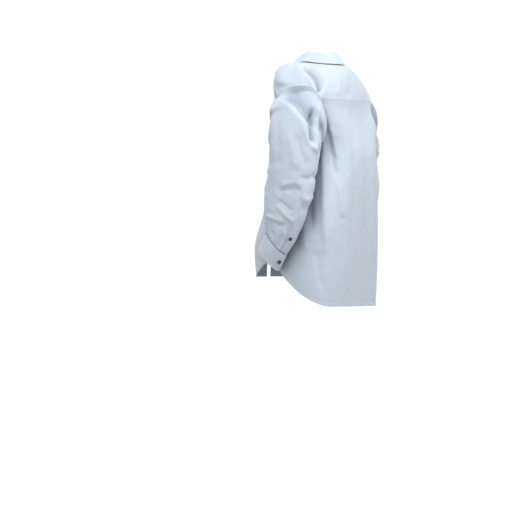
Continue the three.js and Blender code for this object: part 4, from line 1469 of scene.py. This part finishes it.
def glow_material(name, base, strength):
    material = bpy.data.materials.new(name)
    material.use_nodes = True
    shader = material.node_tree.nodes["Principled BSDF"]
    shader.inputs["Base Color"].default_value = (base, base, base, 1)
    shader.inputs["Roughness"].default_value = 0.9
    shader.inputs["Specular IOR Level"].default_value = 0.0
    shader.inputs["Emission Color"].default_value = (1, 1, 1, 1)
    shader.inputs["Emission Strength"].default_value = strength
    return material


def build_stage():
    """A pale floor, and a white studio wall all round that gives the coat no light."""
    place = {"radius": FLOOR_RADIUS, "location": (0, 0, FLOOR_Z)}
    bpy.ops.mesh.primitive_circle_add(vertices=96, fill_type="NGON", **place)
    floor = bpy.context.object
    floor.name = "floor"
    floor.data.materials.append(glow_material("pale_floor", 0.8, 0.72))
    bpy.ops.mesh.primitive_uv_sphere_add(segments=64, ring_count=32, **place)
    wall = bpy.context.object
    wall.name = "studio_wall"
    wall.data.materials.append(glow_material("white_wall", 0.0, 1.05))
    for part in (floor, wall):
        part.visible_diffuse = False
        part.visible_glossy = False
        part.visible_shadow = False


def build_light(name, place, target, size, power):
    data = bpy.data.lights.new(name, "AREA")
    data.shape, data.size, data.energy = "DISK", size, power
    light = bpy.data.objects.new(name, data)
    bpy.context.scene.collection.objects.link(light)
    way = Vector(target) - Vector(place)
    light.location = place
    light.rotation_mode = "QUATERNION"
    light.rotation_quaternion = way.to_track_quat("-Z", "Y")


def build_world():
    world = bpy.data.worlds.new("studio")
    world.use_nodes = True
    sky = world.node_tree.nodes["Background"]
    sky.inputs["Color"].default_value = (1, 1, 1, 1)
    sky.inputs["Strength"].default_value = 0.37
    bpy.context.scene.world = world


CAMERA_TURN = 112.0  # the photograph's angle, from behind the wearer's left
CAMERA_DISTANCE = 14.0
FRAME_WIDTH = 1.569  # what the picture spans at the coat
AIM_ACROSS = -0.176
AIM_HEIGHT = -0.582


def build_camera():
    turn = math.radians(CAMERA_TURN)
    back = Vector((math.sin(turn), -math.cos(turn), 0))
    right = Vector((-back.y, back.x, 0))
    aim = right * AIM_ACROSS + Vector((0, 0, AIM_HEIGHT))
    data = bpy.data.cameras.new("camera")
    data.sensor_width = 36.0
    data.lens = data.sensor_width * CAMERA_DISTANCE / FRAME_WIDTH
    camera = bpy.data.objects.new("camera", data)
    bpy.context.scene.collection.objects.link(camera)
    camera.location = aim + back * CAMERA_DISTANCE
    camera.rotation_mode = "QUATERNION"
    camera.rotation_quaternion = (-back).to_track_quat("-Z", "Y")
    data.clip_end = 100.0
    bpy.context.scene.camera = camera


build_stage()
build_light("top_softbox", (0.9, 0.7, 2.3), (0, 0, -0.3), 1.8, 68)
build_light("rear_softbox", (-0.9, 3.4, 0.2), (0, 0, -0.4), 2.0, 56)
build_light("side_softbox", (3.6, 0.2, 0.1), (0, 0, -0.35), 2.2, 42)
build_light("front_softbox", (-1.6, -3.4, 0.6), (0, 0, -0.35), 2.2, 48)
build_world()
build_camera()
bpy.context.scene.view_settings.view_transform = "Standard"
